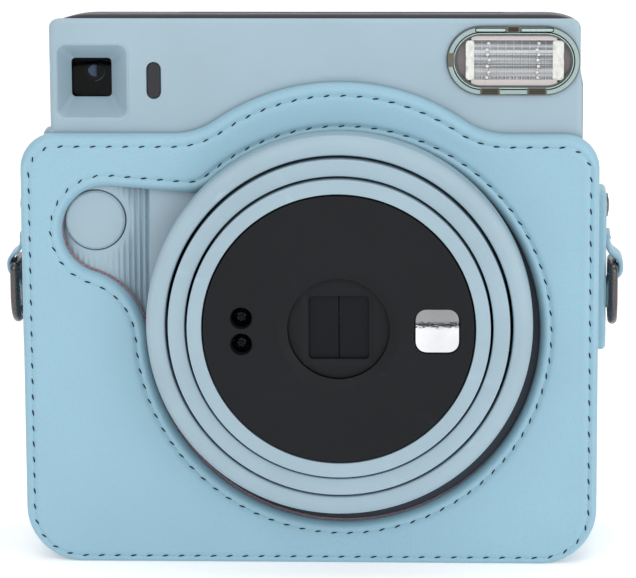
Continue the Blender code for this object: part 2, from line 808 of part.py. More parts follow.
def build_film_chassis():
    """The box that holds the film pack: open at the back, with the image's window in front."""
    low = (CHAMBER_LEFT, CHAMBER_FRONT, CHAMBER_BOTTOM)
    high = (CHAMBER_RIGHT, CHAMBER_BACK, CHAMBER_TOP)
    wall = CHAMBER_WALL
    chassis = box("film_chassis", low, high)
    half = IMAGE_SIZE / 2
    cut(
        chassis,
        box(
            "pack_room",
            (CHAMBER_LEFT + wall, CHAMBER_FRONT + wall, CHAMBER_BOTTOM + wall),
            (CHAMBER_RIGHT - wall, CHAMBER_BACK + 0.01, CHAMBER_TOP - wall),
        ),
        box("image_window", (LENS_X - half, 0.017, LENS_Z - half), (LENS_X + half, 0.020, LENS_Z + half)),
        box("film_exit", (CHAMBER_LEFT + 0.002, 0.0194, 0.104), (CHAMBER_RIGHT - 0.002, 0.0222, 0.108)),
        box("claw_room", (CHAMBER_RIGHT - 0.0075, 0.0300, 0.012), (CHAMBER_RIGHT - 0.0035, 0.0345, 0.015)),
    )
    front, back = (0.0210, 0.0210), (0.0336, 0.0336)
    cone = tapered_tube("light_cone", front, back, 0.0134, 0.0184, 0.0010, (LENS_X, LENS_Z))
    idler = idler_centre()
    join(chassis, cone, rod("idler_stud", (CHAMBER_RIGHT - 0.0005, *idler), (0.0522, *idler), 0.0010, 12))
    paint(chassis, "black_plastic")


def build_pick_claw():
    claw = box(
        "pick_claw",
        (CHAMBER_RIGHT - 0.0070, 0.0305, 0.0075),
        (CHAMBER_RIGHT - 0.0040, 0.0340, 0.0142),
        pivot=at_depth(CHAMBER_RIGHT - 0.0055, 0.0322, 0.0108),
    )
    paint(claw, "steel")


def roller(name, centre, shaft_left, shaft_right):
    """A roller with its two thinner shaft ends."""
    depth, z = centre
    pivot = at_depth(0.0067, depth, z)
    body = rod(name, (-0.0305, depth, z), (0.0440, depth, z), ROLLER_RADIUS, 20, pivot=pivot)
    join(body, rod(name + "_shaft", (shaft_left, depth, z), (shaft_right, depth, z), 0.0011, 12))
    paint(body, "steel")


def build_rollers():
    roller("drive_roller", DRIVE_ROLLER, -0.0335, GEAR_LEFT - GAP)
    roller("pressure_roller", PRESSURE_ROLLER, -0.0335, 0.0475)
    bracket = box("roller_bracket", (-0.0325, 0.0122, 0.1090), (0.0474, 0.0136, 0.1180))
    for i, left in enumerate((-0.0325, 0.0460)):
        join(bracket, box(f"bracket_end_{i}", (left, 0.0130, 0.1090), (left + 0.0014, 0.0272, 0.1180)))
    for i, (depth, z) in enumerate((DRIVE_ROLLER, PRESSURE_ROLLER)):
        cut(bracket, rod(f"shaft_hole_{i}", (-0.04, depth, z), (0.05, depth, z), 0.0014, 12))
    paint(bracket, "steel")


def gear_outline(teeth, centre, first_tooth):
    """A toothed outline as (depth, z); first_tooth is the angle of one tooth's middle."""
    pitch_radius = GEAR_MODULE * teeth / 2
    tip, root = pitch_radius + 0.75 * GEAR_MODULE, pitch_radius - 1.05 * GEAR_MODULE
    pitch = 2 * pi / teeth
    points = []
    for i in range(teeth):
        middle = first_tooth + i * pitch
        for radius, share in ((root, -0.26), (tip, -0.11), (tip, 0.11), (root, 0.26)):
            angle = middle + share * pitch
            points.append((centre[0] + radius * cos(angle), centre[1] + radius * sin(angle)))
    return points


def meshing_tooth(teeth_a, tooth_a, centre_a, teeth_b, centre_b):
    """The angle of a tooth on gear b that lets it mesh with gear a."""
    line = atan2(centre_b[1] - centre_a[1], centre_b[0] - centre_a[0])
    pitch_a, pitch_b = 2 * pi / teeth_a, 2 * pi / teeth_b
    share = ((line - tooth_a) / pitch_a) % 1
    return line + pi - pitch_b * (0.5 - share)


def idler_centre():
    """Where the idler meshes with both the pinion and the roller's gear, behind the line between them."""
    half = GEAR_MODULE / 2
    first, second = half * (PINION_TEETH + IDLER_TEETH), half * (IDLER_TEETH + ROLLER_GEAR_TEETH)
    across, up = DRIVE_ROLLER[0] - PINION[0], DRIVE_ROLLER[1] - PINION[1]
    apart = hypot(across, up)
    swing = acos((first**2 + apart**2 - second**2) / (2 * first * apart))
    angle = atan2(up, across) - swing
    return (PINION[0] + first * cos(angle), PINION[1] + first * sin(angle))


def gear(name, teeth, centre, tooth, bore, finish):
    pivot = at_depth(GEAR_LEFT, *centre)
    outlines = [gear_outline(teeth, centre, tooth)]
    if bore:
        outlines.append(circle(*centre, bore, 12))
    paint(plate(name, outlines, GEAR_LEFT, GEAR_RIGHT, facing="X", pivot=pivot), finish)


def build_gear_train():
    """The motor's pinion, the idler and the gear on the drive roller."""
    centres = (PINION, idler_centre(), DRIVE_ROLLER)
    teeth = (PINION_TEETH, IDLER_TEETH, ROLLER_GEAR_TEETH)
    names = ("motor_pinion", "idler_gear", "roller_gear")
    tooth = 0.0
    for i, name in enumerate(names):
        if i:
            tooth = meshing_tooth(teeth[i - 1], tooth, centres[i - 1], teeth[i], centres[i])
        gear(name, teeth[i], centres[i], tooth, 0.0013 if name == "idler_gear" else 0.0, "nylon")
    motor = rod("film_motor", (0.0180, *PINION), (0.0440, *PINION), 0.0055, 24)
    join(motor, rod("motor_shaft", (0.0430, *PINION), (GEAR_LEFT - GAP, *PINION), 0.0009, 10))
    paint(motor, "steel")


def build_power():
    holder = box("battery_holder", (-0.0560, 0.0128, 0.0330), (-0.0386, 0.0316, 0.0930))
    cut(holder, box("battery_room", (-0.0600, 0.0140, 0.0342), (-0.0398, 0.0304, 0.0918)))
    paint(holder, "black_plastic")
    for name, low in (("battery_lower", 0.0355), ("battery_upper", 0.0635)):
        bottom, top = (-0.0480, 0.0222, low), (-0.0480, 0.0222, low + 0.0265)
        paint(rod(name, bottom, top, 0.0078, 20), "battery_wrap")
    board = box("main_board", (-0.0560, 0.0080, 0.0500), (-0.0345, 0.0092, 0.0980))
    low = (BUTTON_X - SWITCH_HALF, 0.0066, BUTTON_Z - SWITCH_HALF)
    high = (BUTTON_X + SWITCH_HALF, 0.0082, BUTTON_Z + SWITCH_HALF)
    join(board, box("shutter_switch", low, high))
    paint(board, "circuit_board")


# The back


def build_film_door():
    """The door over the film chamber, with its inner step and its hinge barrel."""
    pivot = at_depth(HINGE_X, HINGE_DEPTH, (DOOR_BOTTOM + DOOR_TOP) / 2)
    outline = rounded_box(DOOR_LEFT, DOOR_RIGHT, DOOR_BOTTOM, DOOR_TOP, [0.0015] * 4)
    window = boxed(PACK_WINDOW_X, PACK_WINDOW_Z, 0.0110, 0.0040, 0.0010)
    door = plate("film_door", [outline, window], 0.0392, 0.0420, pivot=pivot)
    paint(door, "blue_plastic")
    glazing = boxed(PACK_WINDOW_X, PACK_WINDOW_Z, 0.0110 - GAP, 0.0040 - GAP, 0.0008)
    pane = plate("pack_window", [glazing], 0.0398, 0.0414, pivot=pivot)
    paint(pane, "clear_plastic")
    for i, bottom in enumerate((0.0260, 0.0860)):
        top = bottom + 0.0140
        axis_low, axis_high = (HINGE_X, HINGE_DEPTH, bottom), (HINGE_X, HINGE_DEPTH, top)
        leaf_low = (0.0470, HINGE_DEPTH - 0.0005, bottom + 0.0005)
        leaf = box(f"hinge_leaf_{i}", leaf_low, (HINGE_X, HINGE_DEPTH + 0.0005, top - 0.0005))
        join(door, rod(f"knuckle_{i}", axis_low, axis_high, 0.0014, 16), leaf)
    low, high = (HINGE_X, HINGE_DEPTH, 0.0240), (HINGE_X, HINGE_DEPTH, 0.1020)
    cut(door, rod("pin_hole", low, high, 0.0009, 12))
    paint(rod("hinge_pin", low, high, 0.0006, 12), "steel")


def build_pack_spring():
    """The spring inside the door that presses on the film pack: two leaves and the strap between them."""
    pivot = at_depth(HINGE_X, HINGE_DEPTH, (DOOR_BOTTOM + DOOR_TOP) / 2)
    spring = box("pack_spring", (-0.0120, 0.0384, 0.0600), (0.0260, 0.0388, 0.0660), pivot=pivot)
    for i, x in enumerate((-0.0120, 0.0260)):
        join(spring, box(f"leaf_{i}", (x - 0.0040, 0.0384, 0.0400), (x + 0.0040, 0.0388, 0.0860)))
    paint(spring, "steel")


def build_door_latch():
    pivot = at_depth(-0.0405, 0.0410, 0.0770)
    latch = box("door_latch", (-0.0425, 0.0392, 0.0733), (-0.0385, 0.0420, 0.0807), pivot=pivot)
    paint(latch, "dark_plastic")


def build_film_counter():
    front, back = (COUNTER_X, 0.0360, COUNTER_WHEEL_Z), (COUNTER_X, 0.0374, COUNTER_WHEEL_Z)
    pivot = at_depth(COUNTER_X, 0.0367, COUNTER_WHEEL_Z)
    paint(rod("counter_wheel", front, back, 0.0085, 32, pivot=pivot), "nylon")
    pane = plate("counter_window", [counter_outline()], 0.0389, 0.0406)
    paint(pane, "clear_plastic")


# The half case


def lower_outline(inset):
    """The case's bottom and sides, from the top left one down and round to the top right one."""
    radius = CASE_BOTTOM_CORNER - inset
    half = CASE_HALF_WIDTH - CASE_BOTTOM_CORNER
    left = arc(-half, CASE_BOTTOM_CORNER, radius, 180, 270, 6)
    return left + arc(half, CASE_BOTTOM_CORNER, radius, 270, 360, 6)


def case_outline():
    """The front panel's edge: round corners, level shoulders and a bump over the lens."""
    corner = CASE_TOP_CORNER
    half = CASE_HALF_WIDTH - corner
    rise = CASE_SHOULDER + BUMP_FILLET - BUMP_CENTRE_Z
    reach = sqrt((BUMP_RADIUS + BUMP_FILLET) ** 2 - rise**2)
    lean = atan2(rise, reach) * 180 / pi
    points = lower_outline(0)
    points += arc(half, CASE_SHOULDER - corner, corner, 0, 90, 4)
    points += arc(LENS_X + reach, CASE_SHOULDER + BUMP_FILLET, BUMP_FILLET, 270, 180 + lean, 4)
    points += arc(LENS_X, BUMP_CENTRE_Z, BUMP_RADIUS, lean, 180 - lean, 14)[1:-1]
    points += arc(LENS_X - reach, CASE_SHOULDER + BUMP_FILLET, BUMP_FILLET, -lean, -90, 4)
    points += arc(-half, CASE_SHOULDER - corner, corner, 90, 180, 4)
    return points


def keyhole_outline():
    """The front panel's opening: a circle round the lens that runs into a smaller one round the button."""
    fillet, lobe = HOLE_FILLET, LOBE_RADIUS
    outer = HOLE_RADIUS + fillet
    upper_z = LOBE_Z + lobe - 0.0015 + fillet
    upper_x = HOLE_X - sqrt(outer**2 - (upper_z - HOLE_Z) ** 2)
    upper_lean = asin((upper_z - HOLE_Z) / outer) * 180 / pi
    across, up = upper_x - LOBE_X, upper_z - LOBE_Z
    tilt = (atan2(across, up) - acos((lobe + fillet) / hypot(across, up))) * 180 / pi
    apart = hypot(LOBE_X - HOLE_X, LOBE_Z - HOLE_Z)
    towards = atan2(LOBE_Z - HOLE_Z, LOBE_X - HOLE_X)
    reach = lobe + fillet
    swing = acos((outer**2 + apart**2 - reach**2) / (2 * outer * apart))
    lower_angle = towards + swing
    lower_x, lower_z = HOLE_X + outer * cos(lower_angle), HOLE_Z + outer * sin(lower_angle)
    back = atan2(LOBE_Z - lower_z, LOBE_X - lower_x) * 180 / pi
    lower_lean = lower_angle * 180 / pi
    points = arc(HOLE_X, HOLE_Z, HOLE_RADIUS, lower_lean - 360, 180 - upper_lean, 44)
    points += arc(upper_x, upper_z, fillet, -upper_lean, -90 - tilt, 5)[1:]
    points += arc(LOBE_X, LOBE_Z, lobe, 90 - tilt, 180 + back, 10)
    points += arc(lower_x, lower_z, fillet, back, lower_lean - 180, 5)[1:-1]
    return points


def side_outline():
    """The strip that runs down one side, along the bottom and up the other."""
    outer = lower_outline(0)
    inner = lower_outline(CASE_SIDE_THICKNESS)
    inner_half = CASE_HALF_WIDTH - CASE_SIDE_THICKNESS
    top = CASE_SHOULDER
    right = [(CASE_HALF_WIDTH, top), (inner_half, top)]
    left = [(-inner_half, top), (-CASE_HALF_WIDTH, top)]
    return outer + right + inner[::-1] + left


def back_outline():
    """The back panel: two uprights and a base, open at the top for the film door."""
    outer = lower_outline(0)
    top = CASE_BACK_TOP
    corner = CASE_TOP_CORNER
    half = CASE_HALF_WIDTH
    points = outer
    points += arc(half - corner / 2, top - corner / 2, corner / 2, 0, 90, 3)
    points += [(0.0560, top), (0.0560, 0.0145)]
    points += arc(0.0530, 0.0125, 0.0030, 0, -90, 3)[1:]
    points += arc(-0.0470, 0.0125, 0.0030, 270, 180, 3)
    points += [(-0.0500, top)]
    points += arc(-half + corner / 2, top - corner / 2, corner / 2, 90, 180, 3)
    return points


def build_case():
    paint(plate("case_front_panel", [case_outline(), keyhole_outline()], *CASE_FRONT), "leather")
    side = plate("case_side_strip", [side_outline()], *CASE_SIDE)
    below, above = (LENS_X, SOCKET_DEPTH, -0.002), (LENS_X, SOCKET_DEPTH, 0.005)
    front, back = CASE_SIDE
    slope = [(front, CASE_SHOULDER), (back, CASE_BACK_TOP), (back + 0.001, 0.102), (front - 0.001, 0.102)]
    above_slope = plate("above_slope", [slope], -0.07, 0.07, facing="X")
    cut(side, rod("case_socket_hole", below, above, 0.0090, 24), above_slope)
    paint(side, "leather")
    paint(plate("case_back_panel", [back_outline()], *CASE_BACK), "leather")


def build_strap_tab(side, word):
    """A leather tab on the case's side that folds round the ring's straight bar."""
    inner = CASE_HALF_WIDTH + GAP
    outer = inner + TAB_THICKNESS
    low_x, high_x = sorted((side * inner, side * outer))
    front, back = TAB_DEPTH - TAB_WIDTH / 2, TAB_DEPTH + TAB_WIDTH / 2
    tab = box(f"strap_tab_{word}", (low_x, front, TAB_BOTTOM), (high_x, back, TAB_TOP))
    bar = (side * RING_BAR_X, RING_BAR_Z)
    loop_front, loop_back = TAB_DEPTH - LOOP_HALF_WIDTH, TAB_DEPTH + LOOP_HALF_WIDTH
    loop = rod(f"loop_{word}", (bar[0], loop_front, bar[1]), (bar[0], loop_back, bar[1]), LOOP_RADIUS, 20)
    near, far = sorted((side * (outer - 0.0002), side * (RING_BAR_X - 0.0012)))
    corners = (near, loop_front, bar[1] - 0.0020), (far, loop_back, bar[1] + 0.0026)
    neck = box(f"loop_neck_{word}", *corners)
    join(tab, loop, neck)
    bore_front, bore_back = (bar[0], loop_front - 0.001, bar[1]), (bar[0], loop_back + 0.001, bar[1])
    cut(tab, rod(f"loop_bore_{word}", bore_front, bore_back, RING_WIRE + GAP, 16))
    paint(tab, "leather")


def build_snap_cap(side, word):
    """The domed cap near the top of a tab."""
    start = CASE_HALF_WIDTH + GAP + TAB_THICKNESS + 0.0001
    low, high = (side * start, TAB_DEPTH, SNAP_Z), (side * (start + 0.0013), TAB_DEPTH, SNAP_Z)
    paint(rod(f"snap_cap_{word}", low, high, 0.0028, 16, tip_radius=0.0018), "gunmetal")


def build_d_ring(side, word):
    """A D-shaped ring: a straight bar through the loop and a bow below it."""
    x = side * RING_BAR_X
    half, corner = RING_HALF_WIDTH, 0.0008
    points = [(x, TAB_DEPTH + half, RING_BAR_Z - corner), (x, TAB_DEPTH + half - corner, RING_BAR_Z)]
    points += [(x, TAB_DEPTH, RING_BAR_Z)]
    points += [(x, TAB_DEPTH - half + corner, RING_BAR_Z), (x, TAB_DEPTH - half, RING_BAR_Z - corner)]
    centre_z = RING_BAR_Z - RING_DROP
    points += [(x, TAB_DEPTH + u, v) for u, v in arc(0, centre_z, half, 180, 360, 10)]
    pivot = at_depth(x, TAB_DEPTH, RING_BAR_Z)
    paint(wire(f"d_ring_{word}", points, RING_WIRE, closed=True, pivot=pivot), "gunmetal")


def build_straps():
    for side, word in ((-1, "left"), (1, "right")):
        build_strap_tab(side, word)
        build_snap_cap(side, word)
        build_d_ring(side, word)


build_front_cover()
build_grip_cover()
build_middle_frame()
build_exit_flap()
build_rear_cover()
build_tripod_socket()
build_battery_cover()
build_finder()
build_sensor_window()
build_flash()
build_lens_base()
build_lens_ring()
build_barrel()
build_lens()
build_disc_fittings()
build_shutter_button()
build_button_spring()
build_film_chassis()
build_pick_claw()
build_rollers()
build_gear_train()
build_power()
build_film_door()
build_pack_spring()
build_door_latch()
build_film_counter()
build_case()
build_straps()
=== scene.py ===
"""The looks of an instant camera in its fitted leather half case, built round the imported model.

Metres. X runs to the right as seen from the front, Y from the front to the back and Z up.
A depth is a distance behind the flat face of the front cover.
"""

import json
from math import acos, asin, atan2, cos, hypot, pi, radians, sin, sqrt, tan

import bmesh
import bpy
import numpy as np
from mathutils import Matrix, Vector, noise
from mathutils.geometry import delaunay_2d_cdt
from mathutils.kdtree import KDTree


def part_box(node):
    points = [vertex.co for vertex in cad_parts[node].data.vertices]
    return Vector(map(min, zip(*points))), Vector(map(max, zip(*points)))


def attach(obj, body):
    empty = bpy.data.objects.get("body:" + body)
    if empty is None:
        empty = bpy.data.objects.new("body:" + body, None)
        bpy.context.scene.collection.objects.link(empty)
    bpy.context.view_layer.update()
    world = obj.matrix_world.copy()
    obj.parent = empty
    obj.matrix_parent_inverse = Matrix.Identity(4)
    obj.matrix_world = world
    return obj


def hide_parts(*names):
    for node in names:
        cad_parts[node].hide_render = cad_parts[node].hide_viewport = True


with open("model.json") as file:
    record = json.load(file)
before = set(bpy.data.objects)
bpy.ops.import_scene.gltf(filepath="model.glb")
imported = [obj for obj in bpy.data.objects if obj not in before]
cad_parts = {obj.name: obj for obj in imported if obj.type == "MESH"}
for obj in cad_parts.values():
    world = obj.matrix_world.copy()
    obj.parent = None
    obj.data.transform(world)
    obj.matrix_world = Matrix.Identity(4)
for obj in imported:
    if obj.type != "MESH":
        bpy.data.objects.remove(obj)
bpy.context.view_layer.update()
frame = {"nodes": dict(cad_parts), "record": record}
MM = 0.001


def mm(*values):
    """Numbers, or tuples of numbers, from millimetres to metres."""
    return [tuple(mm(*value)) if isinstance(value, tuple) else value * MM for value in values]


def low(node):
    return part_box(node)[0]


def high(node):
    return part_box(node)[1]


def middle(node):
    return (low(node) + high(node)) / 2


# Sizes: the frame's own boxes, and the design sizes that no box gives

FRONT_Y = low("front_cover").y
BODY_LEFT = low("rear_cover").x
BODY_RIGHT = high("rear_cover").x
BODY_BOTTOM = low("rear_cover").z
BODY_TOP = high("front_cover").z - 0.47 * MM
TOP_SLOPE = radians(6)
TOP_CORNER = 2.1 * MM
BOTTOM_CORNER = 8.0 * MM
FRAME_PROUD = 0.7 * MM
FRAME_PROUD_TOP = 0.94 * MM
FRONT_COVER_DEPTH = 4.0 * MM
FRAME_BACK = 24.0 * MM
BODY_BACK = 40.7 * MM

LENS_X = middle("lens_ring").x
LENS_Z = middle("lens_ring").z
RING_RADIUS = (high("lens_ring").x - low("lens_ring").x) / 2
RING_BORE = 39.45 * MM
COVER_BORE = 37.9 * MM
OUTER_BAND = (34.95 * MM, 38.75 * MM)
INNER_BAND = (31.05 * MM, 34.35 * MM)
DISC_RADIUS = 30.7 * MM
DISC_FRONT = -14.6 * MM
TUNNEL_RADIUS = 11.6 * MM
TUNNEL_MOUTH = 13.85 * MM
TUNNEL_FLOOR = -12.4 * MM
LEAF_DEPTH = low("lens_cover_left").y - low("front_cover").y
APERTURE = (13.7 * MM, 14.5 * MM)
RANGE_LENS_X = middle("range_lens_upper").x
RANGE_LENS_Z = (LENS_Z + 2.6 * MM, LENS_Z - 3.4 * MM)
MIRROR = [low("selfie_mirror").x, high("selfie_mirror").x, low("selfie_mirror").z, high("selfie_mirror").z]

GRIP_LEFT = low("grip_cover").x
GRIP_RIGHT = high("grip_cover").x
GRIP_BOTTOM = low("grip_cover").z
GRIP_TOP = high("grip_cover").z
GRIP_CREST = -48.0 * MM
RIB_PITCH = 1.25 * MM
BUTTON_X = middle("shutter_button").x
BUTTON_Z = middle("shutter_button").z
BUTTON_RADIUS = 6.85 * MM
BUTTON_FRONT = -0.8 * MM

FINDER_X, FINDER_Z = middle("finder_window").x, middle("finder_window").z
OBJECTIVE = (FINDER_X - 0.2 * MM, FINDER_Z + 1.3 * MM)
SENSOR_X, SENSOR_Z = middle("sensor_window").x, middle("sensor_window").z
FLASH_X, FLASH_Z = 46.3 * MM, 117.0 * MM
FLASH_HALF = (15.05 * MM, 7.8 * MM)

DOOR = [low("film_door").x, 49.0 * MM, low("film_door").z, high("film_door").z]
DOOR_FACE = 42.0 * MM
PACK_WINDOW = (middle("pack_window").x, middle("pack_window").z)
LATCH = [low("door_latch").x, high("door_latch").x, low("door_latch").z, high("door_latch").z]
EYEPIECE_Z = middle("finder_eyepiece").z
COUNTER_X, COUNTER_Z = middle("counter_window").x, middle("counter_window").z
SOCKET_DEPTH = 32.5 * MM
HINGE_X = 51.1 * MM
HINGE_DEPTH = 40.8 * MM
KNUCKLE_BOTTOMS = (26 * MM, 86 * MM)
SLOT = (low("exit_flap").x - 1.5 * MM, high("exit_flap").x + 1.5 * MM)

CASE_HALF_WIDTH = high("case_front_panel").x
CASE_SHOULDER = high("case_side_strip").z
CASE_TOP_CORNER = 8.0 * MM
CASE_BOTTOM_CORNER = 13.0 * MM
CASE_FRONT = (-2.8 * MM, -0.6 * MM)
CASE_SIDE = (-0.3 * MM, 40.8 * MM)
CASE_BACK = (41.1 * MM, 43.2 * MM)
CASE_SIDE_THICKNESS = 2.4 * MM
BUMP_RADIUS = 50.0 * MM
BUMP_CENTRE_Z = high("case_front_panel").z - BUMP_RADIUS
BUMP_FILLET = 17.0 * MM
CASE_BACK_TOP = high("case_back_panel").z
HOLE_X, HOLE_Z, HOLE_RADIUS = 7.6 * MM, 54.75 * MM, 45.0 * MM
LOBE_X, LOBE_Z, LOBE_RADIUS = -46.4 * MM, 78.1 * MM, 10.2 * MM
HOLE_FILLET = 9.0 * MM
HOLE_LOWER_FILLET = 17.0 * MM
HOLE_STITCH = 2.6 * MM
TAB_DEPTH = 22.0 * MM
TAB_WIDTH = 14.0 * MM
TAB_THICKNESS = 1.8 * MM
TAB_FACE = low("strap_tab_right").x + TAB_THICKNESS
TAB_LOW, TAB_HIGH = low("strap_tab_right").z, high("strap_tab_right").z
RING_BAR_X, RING_BAR_Z, RING_WIRE, RING_DROP = 69.7 * MM, 66.0 * MM, 1.1 * MM, 6.2 * MM
SNAP_Z = middle("snap_cap_left").z
STITCH_PITCH = 3.7 * MM
SEAM_RINGS = mm(0.04, 0.12, 0.25, 0.45, 0.7, 1.0, 1.3, 1.6, 1.9, 2.2)
GRIP_SEAM = 98.8 * MM


# Outlines: lists of (u, v) points, counterclockwise


def arc(centre_u, centre_v, radius, start, end, steps):
    """Points along an arc, with its angles in degrees."""
    angles = [radians(start + (end - start) * i / steps) for i in range(steps + 1)]
    return [(centre_u + radius * cos(a), centre_v + radius * sin(a)) for a in angles]


def circle(centre_u, centre_v, radius, steps=128):
    return arc(centre_u, centre_v, radius, 0, 360, steps)[:-1]


def rounded_box(left, right, bottom, top, radius, steps=8):
    """A rectangle with rounded corners, from the bottom left one round to the top left one."""
    corners = ((left, bottom, 180), (right, bottom, 270), (right, top, 0), (left, top, 90))
    points = []
    for u, v, start in corners:
        centre_u = u + radius if u == left else u - radius
        centre_v = v + radius if v == bottom else v - radius
        points += arc(centre_u, centre_v, radius, start, start + 90, steps)
    return points


def boxed(centre_u, centre_v, half_u, half_v, radius):
    return rounded_box(centre_u - half_u, centre_u + half_u, centre_v - half_v, centre_v + half_v, radius)


def stadium(centre_u, centre_v, half_u, half_v, steps=28):
    """A rectangle with two half-round ends, along its longer way."""
    radius = min(half_u, half_v)
    reach_u, reach_v = half_u - radius, half_v - radius
    turn = -90 if half_u > half_v else 0
    points = arc(centre_u + reach_u, centre_v + reach_v, radius, turn, turn + 180, steps)
    points += arc(centre_u - reach_u, centre_v - reach_v, radius, turn + 180, turn + 360, steps)
    return points


def flat_arc(centre_u, centre_v, half_u, half_v, start, end, steps):
    """Points along a part of an ellipse, with its angles in degrees."""
    return [(centre_u + half_u * u, centre_v + half_v * v) for u, v in arc(0, 0, 1, start, end, steps)]


def body_outline(
    top=BODY_TOP, proud=0.0, left_corner=(10.5 * MM, 4.2 * MM), right_corner=(10 * MM, 4.2 * MM)
):
    """The body from the front, with long low corners at the top; it may stand proud on the right."""
    bottom = BODY_BOTTOM + BOTTOM_CORNER
    right = BODY_RIGHT + proud
    points = arc(BODY_LEFT + BOTTOM_CORNER, bottom, BOTTOM_CORNER, 180, 270, 8)
    points += arc(right - BOTTOM_CORNER, bottom, BOTTOM_CORNER, 270, 360, 8)
    points += [(right, 111 * MM), (BODY_RIGHT, 115 * MM)]
    half_u, half_v = right_corner
    points += flat_arc(BODY_RIGHT - half_u, top - half_v, half_u, half_v, 0, 90, 14)
    half_u, half_v = left_corner
    points += flat_arc(BODY_LEFT + half_u, top - half_v, half_u, half_v, 90, 180, 14)
    return points


def lower_outline():
    """The case's bottom and sides, from the top left one down and round to the top right one."""
    radius = CASE_BOTTOM_CORNER
    half = CASE_HALF_WIDTH - radius
    return arc(-half, radius, radius, 180, 270, 16) + arc(half, radius, radius, 270, 360, 16)


def case_outline():
    """The front panel's edge: round corners, level shoulders and a bump over the lens."""
    corner = CASE_TOP_CORNER
    half = CASE_HALF_WIDTH - corner
    rise = CASE_SHOULDER + BUMP_FILLET - BUMP_CENTRE_Z
    reach = sqrt((BUMP_RADIUS + BUMP_FILLET) ** 2 - rise**2)
    lean = atan2(rise, reach) * 180 / pi
    points = lower_outline()
    points += arc(half, CASE_SHOULDER - corner, corner, 0, 90, 16)
    points += arc(LENS_X + reach, CASE_SHOULDER + BUMP_FILLET, BUMP_FILLET, 270, 180 + lean, 16)
    points += arc(LENS_X, BUMP_CENTRE_Z, BUMP_RADIUS, lean, 180 - lean, 60)[1:-1]
    points += arc(LENS_X - reach, CASE_SHOULDER + BUMP_FILLET, BUMP_FILLET, -lean, -90, 16)
    points += arc(-half, CASE_SHOULDER - corner, corner, 90, 180, 16)
    return points


def keyhole_outline():
    """The front panel's opening: a circle round the lens that runs into a smaller one round the button."""
    fillet, lobe = HOLE_FILLET, LOBE_RADIUS
    outer = HOLE_RADIUS + fillet
    upper_z = LOBE_Z + lobe - 1.5 * MM + fillet
    upper_x = HOLE_X - sqrt(outer**2 - (upper_z - HOLE_Z) ** 2)
    upper_lean = asin((upper_z - HOLE_Z) / outer) * 180 / pi
    across, up = upper_x - LOBE_X, upper_z - LOBE_Z
    tilt = (atan2(across, up) - acos((lobe + fillet) / hypot(across, up))) * 180 / pi
    apart = hypot(LOBE_X - HOLE_X, LOBE_Z - HOLE_Z)
    towards = atan2(LOBE_Z - HOLE_Z, LOBE_X - HOLE_X)
    lower = HOLE_LOWER_FILLET
    reach = lobe + lower
    outer = HOLE_RADIUS + lower
    swing = acos((outer**2 + apart**2 - reach**2) / (2 * outer * apart))
    lower_angle = towards + swing
    lower_x, lower_z = HOLE_X + outer * cos(lower_angle), HOLE_Z + outer * sin(lower_angle)
    back = atan2(LOBE_Z - lower_z, LOBE_X - lower_x) * 180 / pi
    lower_lean = lower_angle * 180 / pi
    points = arc(HOLE_X, HOLE_Z, HOLE_RADIUS, lower_lean - 360, 180 - upper_lean, 160)
    points += arc(upper_x, upper_z, fillet, -upper_lean, -90 - tilt, 16)[1:]
    points += arc(LOBE_X, LOBE_Z, lobe, 90 - tilt, 180 + back, 32)
    points += arc(lower_x, lower_z, lower, back, lower_lean - 180, 24)[1:-1]
    return points


def back_outline():
    """The case's back panel: two uprights and a base, open at the top for the film door."""
    top, half, corner = CASE_BACK_TOP, CASE_HALF_WIDTH, CASE_TOP_CORNER / 2
    points = lower_outline()
    points += arc(half - corner, top - corner, corner, 0, 90, 8)
    points += arc(57.5 * MM, top - 1.5 * MM, 1.5 * MM, 90, 180, 6)
    points += arc(53.0 * MM, 12.5 * MM, 3.0 * MM, 0, -90, 8)
    points += arc(-47.0 * MM, 12.5 * MM, 3.0 * MM, 270, 180, 8)
    points += arc(-51.5 * MM, top - 1.5 * MM, 1.5 * MM, 0, 90, 6)
    points += arc(-half + corner, top - corner, corner, 90, 180, 8)
    return points


def resampled(points, step, closed=True):
    """The same line with its points evenly spaced, about a step apart."""
    line = np.array(points, float)
    if closed:
        line = np.vstack([line, line[:1]])
    along = np.concatenate([[0], np.cumsum(np.hypot(*np.diff(line, axis=0).T))])
    count = max(4, int(round(along[-1] / step)))
    at = np.linspace(0, along[-1], count + 1)
    if closed:
        at = at[:-1]
    return np.stack([np.interp(at, along, line[:, 0]), np.interp(at, along, line[:, 1])], axis=1)


def left_normals(points, closed=True):
    """Unit normals on the left of the way along the line: inwards, when it runs counterclockwise."""
    if closed:
        tangent = np.roll(points, -1, axis=0) - np.roll(points, 1, axis=0)
    else:
        tangent = np.gradient(points, axis=0)
    tangent /= np.maximum(np.hypot(*tangent.T), 1e-12)[:, None]
    return np.stack([-tangent[:, 1], tangent[:, 0]], axis=1)


def signed_area(points):
    u, v = np.array(points, float).T
    return 0.5 * float(np.sum(u * np.roll(v, -1) - v * np.roll(u, -1)))


